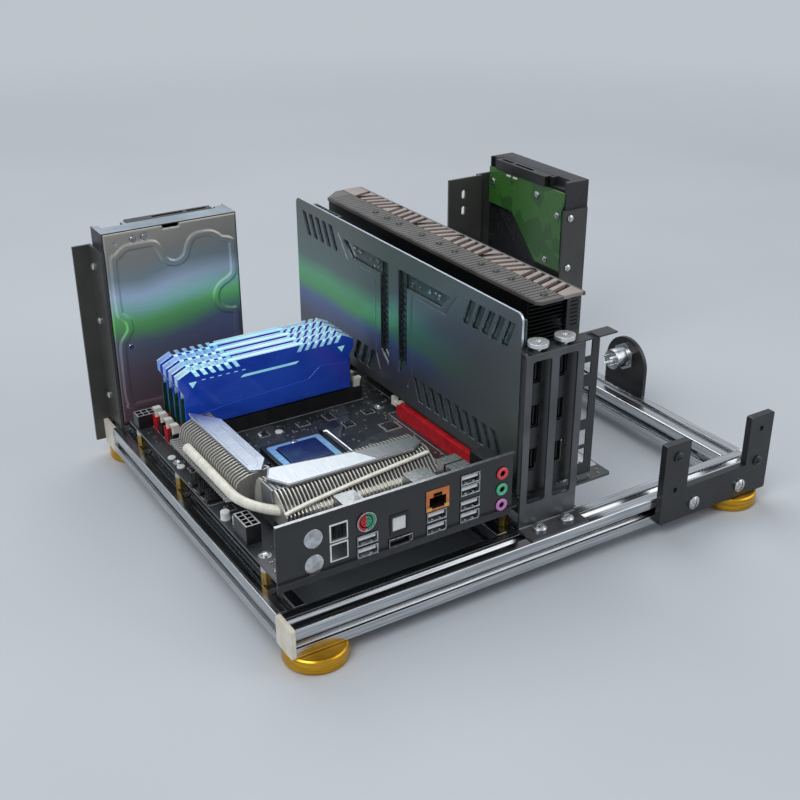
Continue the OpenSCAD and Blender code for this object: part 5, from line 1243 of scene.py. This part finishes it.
lan = softened("lan_port", 0.15, [orange_nylon, steel_can, black_nylon])
by_place(lan, 1, where((90, 2, -1), (120, 40, 40)))
by_place(lan, 2, where((98.9, -1.5, 18.4), (111.3, 11.5, 30.5)))
ps2 = softened("ps2_port", 0.15, [steel_can, black_nylon])
by_place(ps2, 1, where((50, -1.5, 19), (61, 7, 31)))
softened("audio_jacks", 0.12, [black_nylon])
shield = softened("io_shield", 0.15, [shield_black, white_nylon, steel_can])
by_place(shield, 1, where((31.5, -3, 5.0), (43.5, -1.02, 30.6)))
by_place(shield, 2, where((-5, -3, 40.05), (170, 0, 41)))
usb = np.array([[49.4, z] for z in (1.4, 9.7)] + [[97.6, z] for z in (1.4, 9.9)]
               + [[121.8, z] for z in (1.8, 10.3, 20.5, 28.0)])
places = board + np.stack([usb[:, 0], np.full(len(usb), -1.6), usb[:, 1]], 1)
tongue = block(11.6, 13.4, 2.0, (1.1, 0.8, 3.0))
bevel(piece("usb_tongues", repeat(tongue, places), white_nylon, smooth=False), 0.2)
contacts = join(*[block(1.0, 7, 0.12, (1.9 + 2.9 * k, 1.4, 5.0)) for k in range(4)])
piece("usb_contacts", repeat(contacts, places), plated, smooth=False)
springs = join(*[block(1.5, 3.2, 0.4, (x, 0.9, 0.5)) for x in (3.4, 8.9)])
bevel(piece("usb_springs", repeat(springs, places), steel_can, smooth=False), 0.15)
lips = []
for x, z in usb:
    path = board + np.insert(box_line(x, x + 13.8, z, z + 6.4), 1, -1.75, axis=1)
    lips.append(along(path, box_line(-0.25, 0.25, -0.15, 0.15), (0, 1, 0), True))
bevel(piece("usb_lips", join(*lips), plated, smooth=False), 0.08)
print(len(usb), "plug mouths have tongues, contacts and springs")

# %% [markdown]
# The network port has eight gold pins and two small lamps, the display port
# a bright rim, and each sound jack a ring in the colour of its use. The
# keyboard and mouse port is shared, so its face is half red and half green.

# %% Network pins, display port rim, jack rings and keyboard halves
pins = join(*[block(0.45, 7.5, 0.3, (101.0 + 1.05 * k, 0.4, 25.2)) for k in range(8)])
piece("network_pins", (pins[0] + board, pins[1]), gold, smooth=False)
lamps_shape = join(block(3.4, 0.3, 2.2, (97.4, -1.85, 17.6)), block(3.4, 0.3, 2.2, (109.8, -1.85, 17.6)))
piece("network_lamps", (lamps_shape[0] + board, lamps_shape[1]), light_pipe, smooth=False)
path = board + np.insert([[70.9, 1.4], [85.1, 1.4], [86.9, 3.2], [86.9, 6.8], [70.9, 6.8]], 1, -1.8, axis=1)
piece("display_port_rim", along(path, box_line(-0.3, 0.3, -0.2, 0.2), (0, 1, 0), True), plated, smooth=False)
ring = [[1.9, 0.2], [2.2, -0.5], [3.5, -0.6], [4.1, -0.2], [4.2, 0.3], [1.9, 0.3]]
for z, mat, name in ((27.4, rose_nylon, "red"), (16.2, mint_nylon, "green"), (5.1, pink_nylon, "pink")):
    piece(name + "_jack_ring", turned(ring + ring[:1], 40, axis=1, centre=board + [152.7, -1.8, z]), mat)


def half_disc(r0, r1, a0, a1, y0, y1):
    """A sector of a ring between two radii and angles, as a plate across Y."""
    a = np.radians(np.linspace(a0, a1, 25))
    line = np.concatenate([np.stack([r1 * np.cos(a), r1 * np.sin(a)], 1),
                           np.stack([r0 * np.cos(a[::-1]), r0 * np.sin(a[::-1])], 1)])
    return plate(line, y0, y1)


at = board + [55.7, -1.6, 25]
for name, mat, a0, a1 in (("red", red_nylon, 96, 264), ("green", green_nylon, -84, 84)):
    faces_of = join(half_disc(0.5, 3.5, a0, a1, -0.35, 1.5), half_disc(4.4, 5.7, a0, a1, -0.3, 1.5))
    bevel(piece("keyboard_half_" + name, (faces_of[0] + at, faces_of[1]), mat, smooth=False), 0.15)
angles = np.radians([30, 90 - 25, 90 + 25, 150, 215, 325])
dots = np.stack([2.3 * np.cos(angles), np.full(6, -0.42), 2.3 * np.sin(angles)], 1)
pin_hole = turned([[0, 0], [0.42, 0], [0.42, 0.2], [0, 0.2]], 12, axis=1)
piece("keyboard_pin_holes", repeat(pin_hole, at + dots), black_nylon)
rim = turned([[5.8, 0.6], [5.8, -0.5], [6.4, -0.5], [6.4, 0.6], [5.8, 0.6]], 48, axis=1, centre=at)
piece("keyboard_ring", rim, plated)
print("network, display, sound and keyboard sockets are done")

# %% [markdown]
# Two round knock-outs were punched in the shield for sockets that this board
# lacks. Each blank stays in its hole on two thin bridges, and its bare rim
# shows.

# %% Knock-out blanks
blank = join(turned([[0, 0.2], [5.9, 0.2], [6.1, 0.05], [6.1, -0.05], [5.9, -0.2], [0, -0.2]], 48, axis=1),
             (np.asarray(block(1.4, 0.3, 12.9)[0]) - [0.7, 0.15, 6.45], block(1.4, 0.3, 12.9)[1]))
piece("shield_blanks", repeat(blank, board + [[21.5, -0.6, 7.4], [21.5, -0.6, 24.3]]), steel_can)
print("two blanks")

# %% [markdown]
# ## Small parts on the mainboard
#
# A bare board looks like a toy. A real one carries hundreds of chip
# resistors and capacitors, square chips with legs, white printed outlines,
# plated pads and bundles of tracks. The resistors are placed on a two
# millimetre raster at random with a fixed seed, and any that would fall on
# a larger piece is dropped by one test of all points against all keep-out
# rectangles at once.

# %% Chip resistors and capacitors
keep_out = np.array([
    [10, 162, 180, 227], [54, 112, 95, 153], [3, 40, 76, 185], [16, 134, 28, 84], [42, 162, -3, 28],
    [40, 53, 82, 148], [40, 150, 74, 97], [140, 153, 58, 106], [164, 180, 42, 162], [-1, 13, 44, 68],
    [226, 245, 146, 204], [-1, 13, 100, 138], [-1, 16, 222, 236], [176, 204, 232, 245], [216, 234, 232, 245],
    [178, 231, 164, 218], [222, 245, 12, 40]], float)
holes = np.array([[6.35, 33.02], [163.83, 10.16], [209.55, 10.16]]
                 + [[x, y] for x in (6.35, 163.83, 209.55) for y in (165.1, 237.49)])


def free(p, room):
    """True where a point keeps that room from every keep-out rectangle, every hole and the board's edge."""
    x, y = p[:, :1], p[:, 1:2]
    hit = ((x > keep_out[:, 0] - room) & (x < keep_out[:, 1] + room) & (y > keep_out[:, 2] - room)
           & (y < keep_out[:, 3] + room)).any(1)
    near = (np.hypot(x - holes[:, 0], y - holes[:, 1]) < 5 + room).any(1)
    edge = (p < 1.5 + room).any(1) | (p > 242.5 - room).any(1)
    return ~(hit | near | edge)


dice = np.random.default_rng(3)
spots = dice.uniform(0, 244, (1500, 2))
spots = np.unique(np.round(spots / 2) * 2, axis=0)
spots = spots[free(spots, 0.6)]
spots = spots[dice.random(len(spots)) < 0.85]
ways = np.where(dice.random(len(spots)) < 0.5, 0.0, np.pi / 2)
at = board + np.column_stack([spots, np.zeros(len(spots))])
body_shape = block(1.1, 0.85, 0.5, (-0.55, -0.42, 0))
ends = join(block(0.35, 0.9, 0.52, (-0.9, -0.45, 0)), block(0.35, 0.9, 0.52, (0.55, -0.45, 0)))
kinds = dice.random(len(spots)) < 0.5
piece("chip_resistors", repeat(body_shape, at[kinds], turns=ways[kinds]), black_nylon, smooth=False)
piece("chip_capacitors", repeat(body_shape, at[~kinds], turns=ways[~kinds]), chip_tan, smooth=False)
piece("chip_ends", repeat(ends, at, turns=ways), solder, smooth=False)
print(len(spots), "small parts")

# %% [markdown]
# Chips are black epoxy with a dot at the first leg. Their legs are a row of
# plated strips on every side, bent down to the board.

# %% Chips with legs
chips = np.array([
    [9, 148, 6, 6], [8, 76, 5, 7], [9, 90, 4, 5], [20, 230, 7, 5], [60, 232, 8, 8],
    [100, 234, 5, 4], [130, 110, 7, 7], [150, 130, 9, 9], [128, 150, 6, 6], [122, 166, 5, 9],
    [150, 160, 6, 6], [100, 168, 7, 5], [70, 168, 5, 5], [200, 90, 12, 12], [220, 110, 8, 8],
    [200, 60, 7, 9], [192, 130, 6, 6], [216, 70, 5, 5], [236, 60, 5, 7], [236, 90, 6, 6],
    [190, 30, 8, 6], [22, 14, 6, 6], [32, 12, 4, 5], [10, 20, 5, 5], [24, 24, 5, 4],
    [215, 136, 9, 6], [150, 44, 5, 7], [156, 60, 4, 5]], float)
tall = 1.0
bodies = join(*[block(w, d, tall, board + [x, y, 0.15]) for x, y, w, d in chips])
bevel(piece("chips", bodies, chip_epoxy, smooth=False), 0.12)
legs = []
for x, y, w, d in chips:
    n, m = int(w // 0.8) - 1, int(d // 0.8) - 1
    xs, ys = x + w / 2 + 0.8 * (np.arange(n) - (n - 1) / 2), y + d / 2 + 0.8 * (np.arange(m) - (m - 1) / 2)
    legs += [[q - 0.18, y - 0.7, 0] for q in xs] + [[q - 0.18, y + d - 0.1, 0] for q in xs]
    legs += [[x - 0.7, q - 0.18, 1] for q in ys] + [[x + w - 0.1, q - 0.18, 1] for q in ys]
legs = np.array(legs)
for turn_by, shape in ((0, block(0.36, 0.8, 0.35)), (1, block(0.8, 0.36, 0.35))):
    rows_of = legs[legs[:, 2] == turn_by] * [1, 1, 0]
    piece("chip_legs_%d" % turn_by, repeat(shape, board + rows_of), solder, smooth=False)
first_legs = np.column_stack([chips[:, 0] + 0.9, chips[:, 1] + chips[:, 3] - 0.9, np.full(len(chips), 1.15)])
marks = repeat(turned([[0, 0.03], [0.35, 0.03], [0.35, 0], [0, 0]], 10), board + first_legs)
piece("chip_dots", marks, print_white)
print(len(chips), "chips with", len(legs), "legs")

# %% [markdown]
# White outlines are printed round every socket, and screw holes have a
# plated ring. Silver-topped capacitors and flat discs stand beside the side
# heatsink and the memory. The rear right corner has a plated field with four
# tall pins.

# %% Printed outlines, pads, rings and tall pins
def outline(x0, x1, y0, y1, wide=0.25, z=0.0):
    """Four thin strips round a rectangle."""
    t = wide
    parts = [block(x1 - x0, t, 0.04, (x0, y0, z)), block(x1 - x0, t, 0.04, (x0, y1 - t, z)),
             block(t, y1 - y0, 0.04, (x0, y0, z)), block(t, y1 - y0, 0.04, (x1 - t, y0, z))]
    return join(*parts)


boxes = [(53, 111, 97, 151), (11, 161, 183, 226), (163.6, 180.4, 45, 152), (40, 53, 83, 147),
         (40, 119, 77.5, 87), (140.5, 150, 60, 105), (178, 232, 165, 217), (226, 243.5, 148, 202),
         (107, 147, 83, 94), (198, 214, 88, 104), (148, 161, 128, 141), (0.8, 12.4, 101.5, 136.5)]
boxes += [(x - 1.2, x + w + 1.2, y - 1.2, y + d + 1.2) for x, y, w, d in chips]
prints = join(*[outline(*b) for b in boxes])
piece("board_prints", (prints[0] + board, prints[1]), print_white, smooth=False)
ring = turned([[2.1, 0], [2.1, 0.05], [3.9, 0.05], [3.9, 0], [2.1, 0]], 32)
piece("hole_rings", repeat(ring, board + np.column_stack([holes, np.zeros(len(holes))])), solder)
cans = turned([[0, 5.6], [2.6, 5.6], [3.0, 5.2], [3.0, 0.6], [3.2, 0], [0, 0]], 28)
piece("small_cans", repeat(cans, board + [[3.4, 82.5, 0], [7.5, 73.6, 0]]), can_top)
lids = turned([[0, 1.0], [2.5, 1.0], [2.8, 0.7], [2.8, 0], [0, 0]], 28)
disc_at = board + [[83.2, 168.1, 0], [71.3, 171.1, 0], [5.0, 158.0, 0], [4.6, 173.0, 0]]
piece("flat_discs", repeat(lids, disc_at), can_top)
field = plate(np.array([[222, 13], [243, 13], [243, 34], [233, 34]]), 0.0, 0.12, axis=2)
bevel(piece("plated_corner", (field[0] + board, field[1]), solder, smooth=False), 0.05)
tall_pins = repeat(block(0.6, 0.6, 9.0), board + [[226 + 2.4 * k, 35.5, 0.2] for k in range(4)])
bevel(piece("tall_pins", tall_pins, plated, smooth=False), 0.1)
dots = dice.uniform([150, 30], [240, 230], (160, 2))
dots = dots[free(dots, 0.5)]
pads = turned([[0, 0.05], [0.45, 0.05], [0.45, 0], [0, 0]], 8)
piece("board_pads", repeat(pads, board + np.column_stack([dots, np.zeros(len(dots))])), solder)
print("prints, rings, cans and", len(dots), "pads")

# %% [markdown]
# The memory bus is the board's most visible wiring: forty tracks leave the
# processor side by side, bend once by forty-five degrees, and run to the
# sockets. Each bundle is one ribbon shape repeated with a step along both
# axes, so that the tracks keep their distance in the bend.

# %% Bundles of tracks
def bundle(start, mid, end, n, step_start, step_end):
    """n thin tracks: track k passes start + k step_start, mid + k (both steps averaged), end + k step_end."""
    k = np.arange(n)[:, None]
    a = np.array(start, float) + k * np.array(step_start)
    c = np.array(end, float) + k * np.array(step_end)
    b = np.array(mid, float) + k * (np.array(step_start) + np.array(step_end)) / 2
    shapes = []
    for p, q in ((a, b), (b, c)):
        way = q - p
        side = np.stack([-way[:, 1], way[:, 0]], 1) / np.linalg.norm(way, axis=1)[:, None] * 0.17
        corners = np.stack([p - side, q - side, q + side, p + side], 1)
        flat = np.concatenate([corners, np.full((n, 4, 1), 0.035)], 2).reshape(-1, 3)
        shapes.append((flat, np.arange(4 * n).reshape(n, 4)))
    return join(*shapes)


wires = join(bundle((60, 152), (62, 168), (62, 181), 28, (0.8, 0), (0.8, 0)),
             bundle((112, 104), (136, 116), (163, 116), 16, (0, 0.8), (0, 0.8)),
             bundle((112, 134), (126, 150), (126, 181), 20, (0, 0.8), (0.9, 0)),
             bundle((150, 106), (160, 122), (160, 180), 5, (0.8, 0), (0.8, 0)),
             bundle((181, 60), (198, 72), (198, 88), 14, (0, 0.8), (0.8, 0)),
             bundle((196, 164), (196, 150), (181, 138), 16, (0.8, 0), (0, 0.8)),
             bundle((14, 150), (14, 170), (26, 183), 12, (0.8, 0), (0.8, 0)))
piece("board_tracks", (wires[0] + board, wires[1]), track_grey, smooth=False, closed=False)
print(len(wires[1]), "track pieces")

# %% [markdown]
# Round the processor, the load plate has its screws and the socket its side
# walls of small black capacitors. The tops of the 24-way and 8-way power
# sockets get a paler grey, a painted highlight on their cell edges.

# %% Processor surround and socket tops
headers = softened("board_headers", 0.12, [black_nylon, painted_highlight_nylon])
# The sockets' top faces at both edges of the board get the painted highlight.
by_place(headers, 1, lambda x, y, z: ((z > board[2] + 12.9) | ((z > board[2] + 9.9) & (z < board[2] + 10.1)))
         & ((x < board[0] + 30) | (x > board[0] + 226)))
cpu_screws = turned([[0, 1.1], [2.0, 1.1], [2.4, 0.6], [2.4, 0], [0, 0]], 24)
cpu_at = processor + np.array([[-17, -22.4, 4.6], [17, -22.4, 4.6], [0, 17.8, 4.6]])
piece("load_plate_screws", repeat(cpu_screws, cpu_at), plated)
banks = []
for k in range(11):
    banks.append(block(1.9, 3.2, 2.2, (54.6 - 2.6 * (k % 2), 101 + 4.3 * k, 0)))
side_blocks, faces = join(*banks)
bevel(piece("processor_side_blocks", (side_blocks + board, faces), black_nylon, smooth=False), 0.15)
strip([[-12, -12], [12, -12], [12, -8], [-8, -8], [-8, 12], [-12, 12]], 5.8, 6.0, processor,
      "processor_step", lid_nickel, 0.08)
print("processor surround done")
